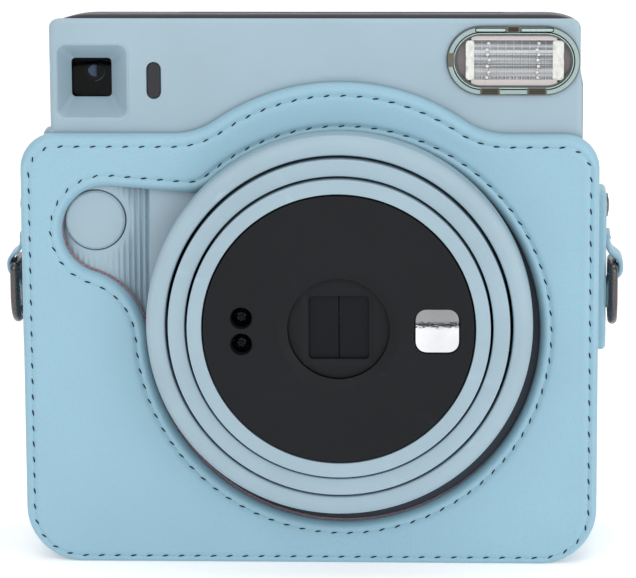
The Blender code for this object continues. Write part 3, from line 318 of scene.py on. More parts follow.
def edge_distance(points, loops):
    """Each point's distance to the nearest edge of the loops, the number of the edge's point and its side.

    The side is true on the left of an edge, which is where the material is when the first loop runs
    counterclockwise and the holes run clockwise.
    """
    corners = np.vstack(loops)
    before = np.vstack([np.roll(loop, 1, axis=0) for loop in loops])
    after = np.vstack([np.roll(loop, -1, axis=0) for loop in loops])
    tree = KDTree(len(corners))
    for i, (u, v) in enumerate(corners):
        tree.insert((u, v, 0), i)
    tree.balance()
    number = np.array([tree.find((u, v, 0))[1] for u, v in points], int)
    here = corners[number]
    nearest_yet = np.full(len(points), np.inf)
    left = np.zeros(len(points), bool)
    for start, end in ((before[number], here), (here, after[number])):
        way = end - start
        offset = points - start
        share = (offset * way).sum(axis=1) / np.maximum((way**2).sum(axis=1), 1e-18)
        gap = offset - np.clip(share, 0, 1)[:, None] * way
        distance = np.hypot(*gap.T)
        closer = distance < nearest_yet
        left = np.where(closer, way[:, 0] * offset[:, 1] - way[:, 1] * offset[:, 0] > 0, left)
        nearest_yet = np.where(closer, distance, nearest_yet)
    chord = after[number] - before[number]
    offset = points - here
    at_corner = nearest_yet >= np.hypot(*offset.T) * (1 - 1e-9)
    left = np.where(at_corner, chord[:, 0] * offset[:, 1] - chord[:, 1] * offset[:, 0] > 0, left)
    return nearest_yet, number, left


# Meshes


def new_mesh(name, vertices, faces, sharp=40, merge=1e-6, thin_faces=True):
    """A smooth mesh without doubles, sharp where it turns by more than an angle in degrees."""
    mesh = bpy.data.meshes.new(name)
    mesh.from_pydata([tuple(v) for v in vertices], [], [tuple(f) for f in faces])
    work = bmesh.new()
    work.from_mesh(mesh)
    bmesh.ops.remove_doubles(work, verts=work.verts, dist=merge)
    if not thin_faces:
        bmesh.ops.dissolve_degenerate(work, edges=work.edges, dist=merge)
    bmesh.ops.recalc_face_normals(work, faces=work.faces)
    work.to_mesh(mesh)
    work.free()
    mesh.shade_smooth()
    mesh.set_sharp_from_angle(angle=radians(sharp))
    return mesh


def grid_faces(rows, around, closed=True):
    """Faces between closed rows of points; closed also joins the last row to the first."""
    faces = []
    for i in range(rows if closed else rows - 1):
        for j in range(around):
            a, b = i * around + j, i * around + (j + 1) % around
            c, d = (i + 1) % rows * around + (j + 1) % around, (i + 1) % rows * around + j
            faces.append((a, b, c, d))
    return faces


def piece(name, mesh, body, finish, replaces=(), even=True):
    """A piece of the object: its mesh, the body that it rides on, its finish and what it stands for."""
    obj = bpy.data.objects.new(name, mesh)
    bpy.context.scene.collection.objects.link(obj)
    obj.data.materials.append(finish)
    if even:
        weighted = obj.modifiers.new("even_shading", "WEIGHTED_NORMAL")
        weighted.weight = 80
        weighted.keep_sharp = True
    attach(obj, body)
    if replaces:
        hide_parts(*replaces)
    return obj


def to_front(depth):
    """Places (x, z, height) on a face that looks forward from a depth."""
    return lambda x, z, h: (x, FRONT_Y + depth - h, z)


def to_back(depth):
    return lambda x, z, h: (x, FRONT_Y + depth + h, z)


def to_side(side, x):
    """Places (depth, z, height) on a face that looks out to one side."""
    return lambda depth, z, h: (side * (x + h), FRONT_Y + depth, z)


def sloped(place):
    """The same placing, with the top tilted down towards the back."""

    def tilted(u, v, h):
        x, y, z = place(u, v, h)
        share = min(1, max(0, (z - CASE_SHOULDER) / (BODY_TOP - CASE_SHOULDER)))
        return (x, y, z - share * (y - FRONT_Y) * tan(TOP_SLOPE))

    return tilted


def round_over(distance, radius, depth=None):
    """The height lost near an edge that is rounded over."""
    depth = radius if depth is None else depth
    share = 1 - np.clip(distance / radius, 0, 1)
    return -depth * (1 - np.sqrt(np.maximum(0, 1 - share**2)))


def relief(name, loops, place, base, height, rings, step, edge_step=0.8 * MM, extra=None):
    """A closed slab whose face is a height over (u, v), with points laid along its edges at the rings.

    The first loop is its outline and the others are holes. The height function gets the points,
    their distances to the nearest edge and whether that edge is the outline's.
    """
    edges = []
    for i, loop in enumerate(loops):
        loop = resampled(loop, edge_step)
        if (signed_area(loop) > 0) != (i == 0):
            loop = loop[::-1].copy()
        edges.append(loop)
    border = np.vstack(edges)
    clouds = []
    for ring in rings:
        shifted = np.vstack([loop + ring * left_normals(loop) for loop in edges])
        distance, _, left = edge_distance(shifted, edges)
        clouds.append(shifted[left & (distance > 0.97 * ring)])
    if extra is None:
        (u0, v0), (u1, v1) = border.min(axis=0), border.max(axis=0)
        rows = np.arange(v0 + step / 2, v1, step * 0.87)
        grid = [(u + (j % 2) * step / 2, v) for j, v in enumerate(rows) for u in np.arange(u0, u1, step)]
        extra = np.array(grid).reshape(-1, 2)
    reach = (max(rings) if len(rings) else 0) + 0.5 * step
    distance, _, left = edge_distance(extra, edges)
    extra = extra[left & (distance > reach)]
    points = np.vstack([border, *clouds, extra])
    links, first = [], 0
    for loop in edges:
        count = len(loop)
        links += [(first + i, first + (i + 1) % count) for i in range(count)]
        first += count
    # the triangulation works best on numbers near one
    scaled = [Vector(p) for p in points * 1000]
    found, _, triangles, *_ = delaunay_2d_cdt(scaled, links, [], 0, 1e-7)
    flat = np.array([tuple(v) for v in found]) / 1000
    triangles = np.array([t for t in triangles if len(t) == 3])
    triangles = triangles[edge_distance(flat[triangles].mean(axis=1), edges)[2]]
    distance, number, _ = edge_distance(flat, edges)
    heights = height(flat, distance, number < len(edges[0]))
    top = [place(u, v, h) for (u, v), h in zip(flat, heights)]
    bottom = [place(u, v, base) for u, v in flat]
    count = len(flat)
    faces = [tuple(t) for t in triangles] + [(a + count, c + count, b + count) for a, b, c in triangles]
    sides = np.sort(np.vstack([triangles[:, [0, 1]], triangles[:, [1, 2]], triangles[:, [2, 0]]]), axis=1)
    sides, seen = np.unique(sides, axis=0, return_counts=True)
    faces += [(a, b, b + count, a + count) for a, b in sides[seen == 1]]
    mesh = new_mesh(name, top + bottom, faces)
    loose = bmesh.new()
    loose.from_mesh(mesh)
    bmesh.ops.delete(loose, geom=[v for v in loose.verts if not v.link_faces], context="VERTS")
    loose.to_mesh(mesh)
    loose.free()
    return mesh


def slab(name, loops, place, base, rounding, step=4 * MM, edge_step=0.6 * MM, shape=None):
    """A flat piece with its front edges rounded over."""

    def height(points, distance, outer):
        h = round_over(distance, rounding)
        return h if shape is None else h + shape(points, distance)

    rings = [rounding * (1 - cos(radians(a))) for a in (18, 36, 54, 72, 90)]
    rings.append(rounding * 1.5)
    return relief(name, loops, place, base, height, rings, step, edge_step)


def softened(profile, radius, steps=4):
    """A closed profile with its corners rounded, as far as its sides allow."""
    points = [Vector(p) for p in profile]
    result = []
    for i, corner in enumerate(points):
        before, after = points[i - 1], points[(i + 1) % len(points)]
        cut = min(radius, (before - corner).length * 0.45, (after - corner).length * 0.45)
        if corner.x < 1e-9:
            result.append(tuple(corner))
            continue
        start = corner + (before - corner).normalized() * cut
        end = corner + (after - corner).normalized() * cut
        for k in range(steps + 1):
            t = k / steps
            point = start * (1 - t) ** 2 + corner * 2 * t * (1 - t) + end * t**2
            result.append(tuple(point))
    return result


def turned(name, profile, centre=(LENS_X, LENS_Z), steps=160):
    """A turned mesh about an axis along Y. Its closed profile is (radius, depth)."""
    vertices = []
    for i in range(steps):
        angle = 2 * pi * i / steps
        for radius, depth in profile:
            x, z = centre[0] + radius * cos(angle), centre[1] + radius * sin(angle)
            vertices.append((x, FRONT_Y + depth, z))
    return new_mesh(name, vertices, grid_faces(steps, len(profile)), 38, 1e-7, thin_faces=False)


def sweep(name, path, side, section, closed=False):
    """A section swept along a flat path; side is the direction square to the path's plane."""
    path = [Vector(p) for p in path]
    side = Vector(side)
    count, around = len(path), len(section)
    vertices = []
    for i, point in enumerate(path):
        before = path[i - 1] if closed or i else point
        after = path[(i + 1) % count] if closed or i < count - 1 else point
        tangent = (after - before).normalized()
        normal = side.cross(tangent).normalized()
        vertices += [point + side * a + normal * b for a, b in section]
    faces = grid_faces(count, around, closed)
    if not closed:
        faces.append(tuple(range(around)))
        faces.append(tuple(range((count - 1) * around, count * around)))
    return new_mesh(name, vertices, faces)


def smooth_path(points, steps):
    """A Catmull-Rom curve through the points."""
    points = [Vector(p) for p in points]
    padded = [points[0], *points, points[-1]]
    result = []
    for p0, p1, p2, p3 in zip(padded, padded[1:], padded[2:], padded[3:]):
        for k in range(steps):
            t = k / steps
            a = 2 * p1 + (p2 - p0) * t
            b = (2 * p0 - 5 * p1 + 4 * p2 - p3) * t**2
            c = (3 * p1 - p0 - 3 * p2 + p3) * t**3
            result.append((a + b + c) / 2)
    return [*result, points[-1]]


def strip_section(width, thickness):
    """A flat strip's section with round edges."""
    return rounded_box(-width / 2, width / 2, -thickness / 2, thickness / 2, thickness * 0.42, 4)


# Finishes. Texture scales are per metre, so 1000 gives features of about a millimetre.


def srgb(red, green, blue):
    """A colour as a shader takes it, from values out of 255."""

    def linear(value):
        value /= 255
        return value / 12.92 if value <= 0.04045 else ((value + 0.055) / 1.055) ** 2.4

    return (linear(red), linear(green), linear(blue), 1)


class Finish:
    """A material whose colour, gloss and surface come from nodes in object space."""

    def __init__(self, name, roughness, metallic=0.0, **sockets):
        self.material = bpy.data.materials.new(name)
        self.material.use_nodes = True
        self.tree = self.material.node_tree
        self.shader = self.tree.nodes["Principled BSDF"]
        self.shader.inputs["Roughness"].default_value = roughness
        self.shader.inputs["Metallic"].default_value = metallic
        for socket, value in sockets.items():
            self.shader.inputs[socket.replace("_", " ")].default_value = value
        self.place = self.node("ShaderNodeTexCoord").outputs["Object"]
        self.bumped = None

    def node(self, kind, **inputs):
        made = self.tree.nodes.new(kind)
        for name, value in inputs.items():
            made.inputs[name.replace("_", " ")].default_value = value
        return made

    def link(self, output, target):
        self.tree.links.new(output, target)

    def noise(self, scale, detail=3.0, roughness=0.55, stretch=None):
        """A noise from 0 to 1, which may be drawn out along an axis."""
        made = self.node("ShaderNodeTexNoise", Scale=scale, Detail=detail, Roughness=roughness)
        if stretch:
            mapping = self.node("ShaderNodeMapping", Scale=stretch)
            self.link(self.place, mapping.inputs["Vector"])
            self.link(mapping.outputs["Vector"], made.inputs["Vector"])
        else:
            self.link(self.place, made.inputs["Vector"])
        return made.outputs["Fac"]

    def cells(self, scale, feature="F1", smooth=None):
        made = self.node("ShaderNodeTexVoronoi", Scale=scale)
        made.feature = feature
        if smooth is not None:
            made.inputs["Smoothness"].default_value = smooth
        self.link(self.place, made.inputs["Vector"])
        return made.outputs["Distance"]

    def ranged(self, value, low, high, from_low=0.3, from_high=0.7):
        made = self.node("ShaderNodeMapRange")
        made.inputs["From Min"].default_value = from_low
        made.inputs["From Max"].default_value = from_high
        made.inputs["To Min"].default_value = low
        made.inputs["To Max"].default_value = high
        self.link(value, made.inputs["Value"])
        return made.outputs["Result"]

    def blend(self, share, first, second):
        """Two colours mixed by a share; either may be a socket."""
        made = self.tree.nodes.new("ShaderNodeMix")
        made.data_type = "RGBA"
        self.link(share, made.inputs["Factor"])
        for colour, target in ((first, made.inputs[6]), (second, made.inputs[7])):
            if isinstance(colour, bpy.types.NodeSocket):
                self.link(colour, target)
            else:
                target.default_value = colour
        return made.outputs[2]

    def edges(self, low=0.52, high=0.62):
        """High on convex edges."""
        pointed = self.tree.nodes.new("ShaderNodeNewGeometry").outputs["Pointiness"]
        return self.ranged(pointed, 0.0, 1.0, low, high)

    def colour(self, value):
        self.link(value, self.shader.inputs["Base Color"])
        return self

    def gloss(self, value):
        self.link(value, self.shader.inputs["Roughness"])
        return self

    def bump(self, height, depth):
        """A bump on top of those already there; depth is in metres."""
        made = self.node("ShaderNodeBump", Strength=1.0, Distance=depth)
        self.link(height, made.inputs["Height"])
        if self.bumped:
            self.link(self.bumped, made.inputs["Normal"])
        self.bumped = made.outputs["Normal"]
        self.link(self.bumped, self.shader.inputs["Normal"])
        return self


def shade(colour, factor):
    return (*(min(1.0, c * factor) for c in colour[:3]), 1)


def moulded(name, colour, roughness, texture=4200, depth=0.012 * MM, spread=0.04, wear=0.10, **sockets):
    """Moulded plastic: a fine spark-eroded skin, faint flow marks and edges rubbed a little lighter."""
    finish = Finish(name, roughness, **sockets)
    flow = finish.ranged(finish.noise(45, 2.0), 0, 1)
    body = finish.blend(flow, shade(colour, 1 - spread), shade(colour, 1 + spread))
    rubbed = finish.blend(finish.edges(), body, shade(colour, 1 + wear))
    finish.colour(rubbed)
    finish.gloss(finish.ranged(finish.noise(320, 4.0), roughness - 0.05, roughness + 0.06))
    finish.bump(finish.noise(texture, 2.0, 0.6), depth)
    return finish.material


def grained_leather(name, colour, roughness):
    """Coated synthetic leather: small soft pebbles, finer pores and slight tone changes."""
    finish = Finish(name, roughness, Sheen_Weight=0.10, Sheen_Roughness=0.5, Coat_Weight=0.10)
    finish.shader.inputs["Coat Roughness"].default_value = 0.38
    tone = finish.ranged(finish.noise(28, 3.0), 0, 1)
    skin = finish.blend(tone, shade(colour, 0.965), shade(colour, 1.03))
    pebble = finish.cells(2300, "SMOOTH_F1", 0.6)
    pits = finish.ranged(pebble, 0, 1, 0.45, 0.9)
    skin = finish.blend(pits, skin, shade(colour, 0.955))
    skin = finish.blend(finish.edges(0.53, 0.66), skin, shade(colour, 1.08))
    finish.colour(skin)
    finish.gloss(finish.ranged(finish.noise(600, 3.0), roughness - 0.06, roughness + 0.08))
    finish.bump(finish.noise(140, 3.0), 0.03 * MM)
    finish.bump(pebble, -0.018 * MM)
    finish.bump(finish.noise(7000, 2.0), 0.004 * MM)
    return finish.material


def twisted_thread(name, colour):
    """Sewing thread: fine slanting strands."""
    finish = Finish(name, 0.6, Specular_IOR_Level=0.2)
    wave = finish.node("ShaderNodeTexWave", Scale=1500.0, Distortion=1.5)
    wave.bands_direction = "DIAGONAL"
    finish.link(finish.place, wave.inputs["Vector"])
    strands = wave.outputs["Fac"]
    finish.colour(finish.blend(strands, shade(colour, 0.6), shade(colour, 1.15)))
    finish.gloss(finish.ranged(finish.noise(3000), 0.5, 0.7))
    finish.bump(strands, 0.05 * MM)
    return finish.material


def metal(name, colour, roughness, stretch=None, wear=0.3):
    """Plated or machined metal with fine tool marks and edges rubbed brighter."""
    finish = Finish(name, roughness, 1.0)
    patch = finish.ranged(finish.noise(90, 4.0), 0, 1)
    body = finish.blend(patch, shade(colour, 0.9), shade(colour, 1.08))
    finish.colour(finish.blend(finish.edges(0.54, 0.68), body, shade(colour, 1 + wear)))
    marks = finish.noise(1500, 3.0, 0.6, stretch)
    finish.gloss(finish.ranged(marks, roughness * 0.75, roughness * 1.35))
    finish.bump(marks, 0.008 * MM)
    return finish.material


def clear(name, colour, roughness, ior=1.49):
    """Clear moulded plastic or glass, with a few faint marks in its gloss."""
    finish = Finish(name, roughness, IOR=ior, Transmission_Weight=1.0)
    haze = finish.ranged(finish.noise(160, 3.0), 0, 1)
    finish.colour(finish.blend(haze, colour, shade(colour, 0.97)))
    finish.gloss(finish.ranged(finish.noise(420, 4.0), roughness, roughness + 0.03))
    finish.bump(finish.noise(500, 2.0), 0.002 * MM)
    return finish.material


def painted_reflection_bands(name, shaded, light, raised_highlight):
    """A moulded pane before a reflector, made opaque: level streaks of two tones as painted reflection,
    with raised lines painted lighter as a painted highlight.
    """
    finish = Finish(name, 0.25)
    # painted reflection: the level streaks stand in for the reflector seen through the pane; painted
    # highlight: the raised lines are lighter
    reflected_streak = finish.ranged(finish.noise(110, 2.0, 0.5, (0.14, 1, 8)), 0, 1, 0.42, 0.58)
    finish.colour(finish.blend(finish.edges(0.515, 0.56), finish.blend(reflected_streak, shaded, light), raised_highlight))
    finish.gloss(finish.ranged(finish.noise(900), 0.18, 0.34))
    finish.bump(finish.noise(1800), 0.01 * MM)
    return finish.material


def speckled(name, colour, second, scale, roughness, depth=0.02 * MM, metallic=0.0):
    """Two tones in small patches: boards, wraps, lining."""
    finish = Finish(name, roughness, metallic)
    patch = finish.ranged(finish.noise(scale, 3.0), 0, 1, 0.42, 0.58)
    finish.colour(finish.blend(patch, colour, second))
    finish.gloss(finish.ranged(finish.noise(scale * 3), roughness - 0.05, roughness + 0.1))
    finish.bump(finish.noise(scale * 2), depth)
    return finish.material


BLUE = srgb(147, 169, 181)
LEATHER = srgb(137, 176, 193)
MATT = {"Specular_IOR_Level": 0.12}

blue_plastic = moulded("blue_plastic_satin", BLUE, 0.42)
frame_plastic = moulded(
    "frame_plastic_dark", srgb(70, 70, 76), 0.5, 3000, 0.02 * MM, Specular_IOR_Level=0.25
)
black_plastic = moulded("black_plastic_matte", srgb(27, 28, 31), 0.52, 5200, 0.012 * MM, wear=0.25, **MATT)
leaf_plastic = moulded("cover_leaf_plastic", srgb(18, 20, 25), 0.4, 5200, 0.01 * MM, wear=0.3, **MATT)
deep_plastic = moulded("deep_black_plastic", srgb(16, 17, 20), 0.6, 2500, 0.03 * MM, **MATT)
gloss_black = moulded(
    "sensor_gloss_black", srgb(43, 44, 48), 0.22, 900, 0.002 * MM, Specular_IOR_Level=0.25
)
leather = grained_leather("light_blue_leather", LEATHER, 0.46)
leather_edge = speckled("leather_raw_edge", srgb(150, 120, 128), srgb(112, 92, 102), 2400, 0.8, 0.05 * MM)
# painted shade: a near-black strand stands for the shade in each needle hole
needle_hole_shade = twisted_thread("needle_hole_shade_teal", srgb(8, 30, 42))
thread_pale = twisted_thread("thread_pale_teal", srgb(132, 184, 200))
gunmetal = metal("gunmetal_plate", srgb(92, 88, 90), 0.26)
steel = metal("machined_steel", srgb(178, 178, 182), 0.3, (1, 12, 1))
chrome = metal("reflector_chrome", srgb(236, 236, 238), 0.10)
mirror_metal = metal("mirror_silver", srgb(214, 215, 218), 0.015, wear=0.0)
clear_plastic = clear("flash_clear_plastic", srgb(232, 240, 240), 0.03)
smoked_plastic = clear("smoked_window_plastic", srgb(120, 110, 84), 0.08)
glass = clear("coated_glass", srgb(210, 222, 236), 0.01, 1.5)
finder_pane = clear("finder_pane_smoked", srgb(96, 104, 116), 0.02, 1.2)
finder_pane.node_tree.nodes["Principled BSDF"].inputs["Specular IOR Level"].default_value = 0.15
nylon = moulded("gear_nylon", srgb(214, 213, 204), 0.5, 2500)
# painted shade: a dark slate for the shade in the gap between the lens ring and the case
gap_shade_plastic = moulded("gap_shade_slate", srgb(50, 58, 68), 0.5, 3000, Specular_IOR_Level=0.2)
rubber = moulded("flap_rubber", srgb(34, 34, 36), 0.8, 2200, 0.03 * MM)
board = speckled("lacquered_board", srgb(22, 92, 58), srgb(16, 76, 48), 700, 0.4)
wrap = speckled("battery_wrap", srgb(150, 126, 62), srgb(128, 104, 48), 120, 0.35, 0.005 * MM, 0.3)

flash_grey = moulded("flash_recess_grey", srgb(112, 106, 108), 0.4, 2500)
flash_shade = moulded("flash_step_grey", srgb(84, 84, 84), 0.45, 2500)
flash_pale = moulded("flash_bar_pale", srgb(188, 181, 181), 0.3, 2500)
flash_white = moulded("flash_foil_white", srgb(214, 214, 210), 0.25, 2500, 0.03 * MM)
# painted reflection and painted highlight: the grid's greys and its lighter raised lines
grid_reflection_finish = painted_reflection_bands("flash_grid_painted_reflection", srgb(92, 96, 102), srgb(166, 168, 170), srgb(205, 206, 208))
flash_hook = moulded("flash_hook_olive", srgb(92, 90, 78), 0.35, 2500)
flash_hook_dark = moulded("flash_hook_dark", srgb(52, 50, 42), 0.35, 2500, Specular_IOR_Level=0.2)
rim_plastic = moulded("flash_rim_plastic", srgb(146, 166, 164), 0.2, 1800, 0.01 * MM)
rim_pale = moulded("flash_rim_slot_pale", srgb(158, 178, 176), 0.2, 1800, 0.01 * MM)

FINISH_OF_SLOT = {
    "blue_plastic": blue_plastic,
    "dark_plastic": frame_plastic,
    "black_plastic": deep_plastic,
    "clear_plastic": clear_plastic,
    "optical_glass": glass,
    "mirror": chrome,
    "steel": steel,
    "gunmetal": gunmetal,
    "circuit_board": board,
    "battery_wrap": wrap,
    "nylon": nylon,
    "rubber": rubber,
    "leather": leather,
}


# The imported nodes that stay: their edges are broken and they get a real finish


def dress_frame():
    slots = {part["node"]: part["material_slot"] for part in frame["record"]["subparts"]}
    for name, obj in frame["nodes"].items():
        obj.data.materials.clear()
        obj.data.materials.append(FINISH_OF_SLOT[slots[name]])
        weld = obj.modifiers.new("weld", "WELD")
        weld.merge_threshold = 1e-6
        bevel = obj.modifiers.new("broken_edges", "BEVEL")
        bevel.width = 0.12 * MM
        bevel.segments = 2
        bevel.limit_method = "ANGLE"
        bevel.angle_limit = radians(40)
        bevel.use_clamp_overlap = True
        smooth = obj.modifiers.new("even_shading", "WEIGHTED_NORMAL")
        smooth.keep_sharp = True


dress_frame()


# The camera body


def build_front_cover():
    """The front cover with its openings; the grip takes a bite out of its left side."""
    notch = [
        (GRIP_RIGHT + 0.06 * MM, GRIP_BOTTOM - 0.1 * MM),
        (GRIP_RIGHT + 0.06 * MM, GRIP_SEAM + 0.06 * MM),
        (BODY_LEFT, GRIP_SEAM + 0.06 * MM),
    ]
    low_half = arc(BODY_LEFT + BOTTOM_CORNER, BODY_BOTTOM + BOTTOM_CORNER, BOTTOM_CORNER, 220, 270, 6)
    corner = (TOP_CORNER, TOP_CORNER)
    rest = body_outline(BODY_TOP, 0.5 * MM, corner, corner)
    rest = [p for p in rest if p[0] > BODY_LEFT + BOTTOM_CORNER + 1 * MM or p[1] > GRIP_SEAM]
    outline = low_half + rest + notch[::-1]
    loops = [
        outline,
        circle(LENS_X, LENS_Z, COVER_BORE),
        boxed(FINDER_X, FINDER_Z, 8.2 * MM, 8.6 * MM, 1.8 * MM),
        stadium(SENSOR_X, SENSOR_Z, 1.62 * MM, 4.22 * MM, 14),
        stadium(FLASH_X - 0.2 * MM, FLASH_Z, FLASH_HALF[0] - 0.2 * MM, FLASH_HALF[1] - 0.05 * MM),
    ]

    def height(points, distance, outer):
        top_edge = outer & (points[:, 1] > GRIP_SEAM + 2 * MM)
        lens_edge = np.abs(np.hypot(points[:, 0] - LENS_X, points[:, 1] - LENS_Z) - COVER_BORE) < 0.6 * MM
        h = np.where(top_edge, round_over(distance, 1.4 * MM, 0.8 * MM), round_over(distance, 0.3 * MM))
        seam = outer & (points[:, 1] < GRIP_SEAM + 2 * MM)
        return np.where(seam & ~lens_edge, round_over(distance, 0.06 * MM), h)

    rings = mm(0.02, 0.06, 0.12, 0.22, 0.3, 0.5, 0.75, 1.0, 1.4, 1.8)
    mesh = relief(
        "front_shell", loops, sloped(to_front(0)), -FRONT_COVER_DEPTH, height, rings, 4 * MM, 0.45 * MM
    )
    piece("front_shell", mesh, "body", blue_plastic, ["front_cover"], even=False)


def funnel_mesh(name, centre, sizes, wall, lean=(0, 0)):
    """A rounded square funnel: each size is (depth, half width, half height, corner radius)."""

    def ring(depth, w, h, r):
        outline = boxed(centre[0] + lean[0] * depth, centre[1] + lean[1] * depth, w, h, r)
        return [(x, FRONT_Y + depth, z) for x, z in outline]

    rings = [ring(*size) for size in sizes]
    rings += [ring(depth, w + wall, h + wall, r + wall) for depth, w, h, r in reversed(sizes)]
    return new_mesh(name, sum(rings, []), grid_faces(len(rings), len(rings[0])))


def build_finder():
    centre = (FINDER_X, FINDER_Z)
    sizes = mm(
        (0.15, 8.1, 8.5, 1.8), (0.5, 7.7, 8.1, 1.6), (3.0, 6.3, 6.6, 1.3), (5.4, 4.63, 4.56, 1.0),
        (6.2, 4.58, 4.5, 1.0),
    )
    funnel = funnel_mesh("finder_funnel", centre, sizes, 0.35 * MM, (-0.11, 0.035))
    piece("finder_funnel", funnel, "body", blue_plastic)
    tube = funnel_mesh("finder_tube", centre, mm((8.2, 5.0, 5.0, 0.8), (14, 4.0, 4.0, 0.8)), 0.4 * MM)
    piece("finder_tube", tube, "body", deep_plastic)

    def domed(points, distance):
        away = np.hypot(points[:, 0] - FINDER_X, points[:, 1] - FINDER_Z)
        return 0.9 * MM * np.sqrt(np.maximum(0, 1 - (away / (9 * MM)) ** 2)) - 0.9 * MM

    window = boxed(*centre, 5.5 * MM, 5.5 * MM, 1.0 * MM)
    mesh = slab("finder_glass", [window], to_front(6.5 * MM), -1.5 * MM, 0.2 * MM, 1.0 * MM, shape=domed)
    piece("finder_glass", mesh, "body", finder_pane, ["finder_window"])
    frame_plate = slab(
        "finder_mask", [window, circle(*OBJECTIVE, 2.4 * MM, 48)], to_front(8.5 * MM), -0.6 * MM, 0.2 * MM
    )
    piece("finder_mask", frame_plate, "body", deep_plastic)
    lens = softened(mm((0, 8.6), (1.4, 8.8), (2.3, 9.3), (2.3, 10.4), (0, 10.4)), 0.1 * MM)
    lens_mesh = turned("finder_objective", lens, OBJECTIVE, 48)
    piece("finder_objective", lens_mesh, "body", glass)


def build_sensor_window():
    pill = stadium(SENSOR_X, SENSOR_Z, 1.45 * MM, 4.05 * MM, 14)
    mesh = slab("sensor_pane", [pill], to_front(0.05 * MM), -1.9 * MM, 0.2 * MM, 1 * MM, 0.3 * MM)
    piece("sensor_pane", mesh, "body", gloss_black, ["sensor_window"])


def build_index_mark():
    """A plain embossed bar under the top edge, above the lens."""
    left, right, top = LENS_X - 4.4 * MM, LENS_X + 4.6 * MM, 113.5 * MM
    bar = rounded_box(left, right, top - 0.35 * MM, top, 0.15 * MM, 3)
    mesh = slab("index_mark", [bar], to_front(0.0), -0.12 * MM, 0.08 * MM, 1 * MM, 0.3 * MM)
    for vertex in mesh.vertices:
        vertex.co.y -= 0.08 * MM
    piece("index_mark", mesh, "body", blue_plastic)


def grip_face(x):
    """How far the grip's smooth face stands before the cover: a low crest that rolls off to the left."""
    if x > GRIP_CREST:
        return 0.3 * MM - 1.6 * MM * ((x - GRIP_CREST) / (GRIP_RIGHT - GRIP_CREST)) ** 2
    reach = min(1.0, (GRIP_CREST - x) / (GRIP_CREST - GRIP_LEFT))
    return 0.3 * MM - 6.2 * MM * (1 - sqrt(1 - reach**2))


def step_up(value, start, end):
    t = np.clip((value - start) / (end - start), 0, 1)
    return t * t * (3 - 2 * t)


def rib_depth(x, z):
    """The ribs: deep on the valley side, fading out on the boss round the button and deeper where the grip
    rolls off to the left.
    """
    wave = 0.5 - 0.5 * np.cos(2 * pi * (x - GRIP_RIGHT) / RIB_PITCH)
    away = np.hypot(x - BUTTON_X, z - BUTTON_Z)
    boss = step_up(away, BUTTON_RADIUS + 0.9 * MM, BUTTON_RADIUS + 3.0 * MM)
    valley = step_up(x, -45.5 * MM, -40.5 * MM)
    rolled = step_up(-x, 55 * MM, 58 * MM)
    return -wave * boss * (0.16 * MM + 0.52 * MM * valley + 0.2 * MM * rolled)


def build_grip():
    angles = np.linspace(0, pi / 2, 60)[:-1]
    left = GRIP_CREST - (GRIP_CREST - GRIP_LEFT) * np.sin(angles)
    columns = np.concatenate([left[::-1], np.arange(GRIP_CREST, GRIP_RIGHT, RIB_PITCH / 8)])
    ribbed = np.arange(GRIP_LEFT, GRIP_CREST, RIB_PITCH / 8)
    columns = np.unique(np.concatenate([columns, ribbed]))
    rows = np.arange(GRIP_BOTTOM + 0.4 * MM, GRIP_TOP, 0.9 * MM)
    grid = np.array([(x, z) for x in columns for z in rows])

    def height(points, distance, outer):
        smooth = np.array([grip_face(x) for x in points[:, 0]])
        seam = (np.abs(points[:, 1] - GRIP_SEAM) < 0.3 * MM) | (points[:, 0] > GRIP_RIGHT - 0.3 * MM)
        rounded = np.where(seam, round_over(distance, 0.05 * MM), round_over(distance, 0.25 * MM))
        return smooth + rib_depth(points[:, 0], points[:, 1]) + rounded

    step_x = BODY_LEFT - 0.1 * MM
    loops = [
        [
            (GRIP_LEFT, GRIP_BOTTOM),
            (GRIP_RIGHT, GRIP_BOTTOM),
            (GRIP_RIGHT, GRIP_SEAM),
            (step_x, GRIP_SEAM),
            (step_x, GRIP_TOP),
            *arc(GRIP_LEFT + 1.2 * MM, GRIP_TOP - 1.2 * MM, 1.2 * MM, 90, 180, 5),
        ],
        circle(BUTTON_X, BUTTON_Z, BUTTON_RADIUS + 0.2 * MM, 120),
    ]
    rings = mm(0.05, 0.12, 0.25, 0.45)
    mesh = relief("grip_shell", loops, to_front(0), -9.6 * MM, height, rings, 0, 0.3 * MM, grid)
    piece("grip_shell", mesh, "body", blue_plastic, ["grip_cover"], even=False)


def build_shutter_button():
    dish = [
        (BUTTON_RADIUS * sin(a) / sin(0.5), BUTTON_FRONT + 5 * MM * (1 - cos(a)) - 0.45 * MM)
        for a in np.linspace(0, 0.5, 14)
    ]
    front = dish[-1][1]
    profile = dish[:-1] + softened(
        [
            (BUTTON_RADIUS - 0.35 * MM, front - 0.03 * MM),
            (BUTTON_RADIUS, front + 0.35 * MM),
            (BUTTON_RADIUS, 2.9 * MM),
            (2.0 * MM, 2.9 * MM),
            (2.0 * MM, 5.3 * MM),
        ],
        0.12 * MM,
    )
    profile += [(0, 5.3 * MM)]
    mesh = turned("release_button", profile, (BUTTON_X, BUTTON_Z), 128)
    piece("release_button", mesh, "button", blue_plastic, ["shutter_button"])
    inner, outer, depth = BUTTON_RADIUS + 0.3 * MM, 9.0 * MM, 4.35 * MM
    ring = softened(
        [(inner, depth), (outer, depth), (outer, depth + 0.5 * MM), (inner, depth + 0.5 * MM)], 0.05 * MM
    )
    mesh = turned("button_well", ring, (BUTTON_X, BUTTON_Z), 64)
    piece("button_well", mesh, "body", deep_plastic)


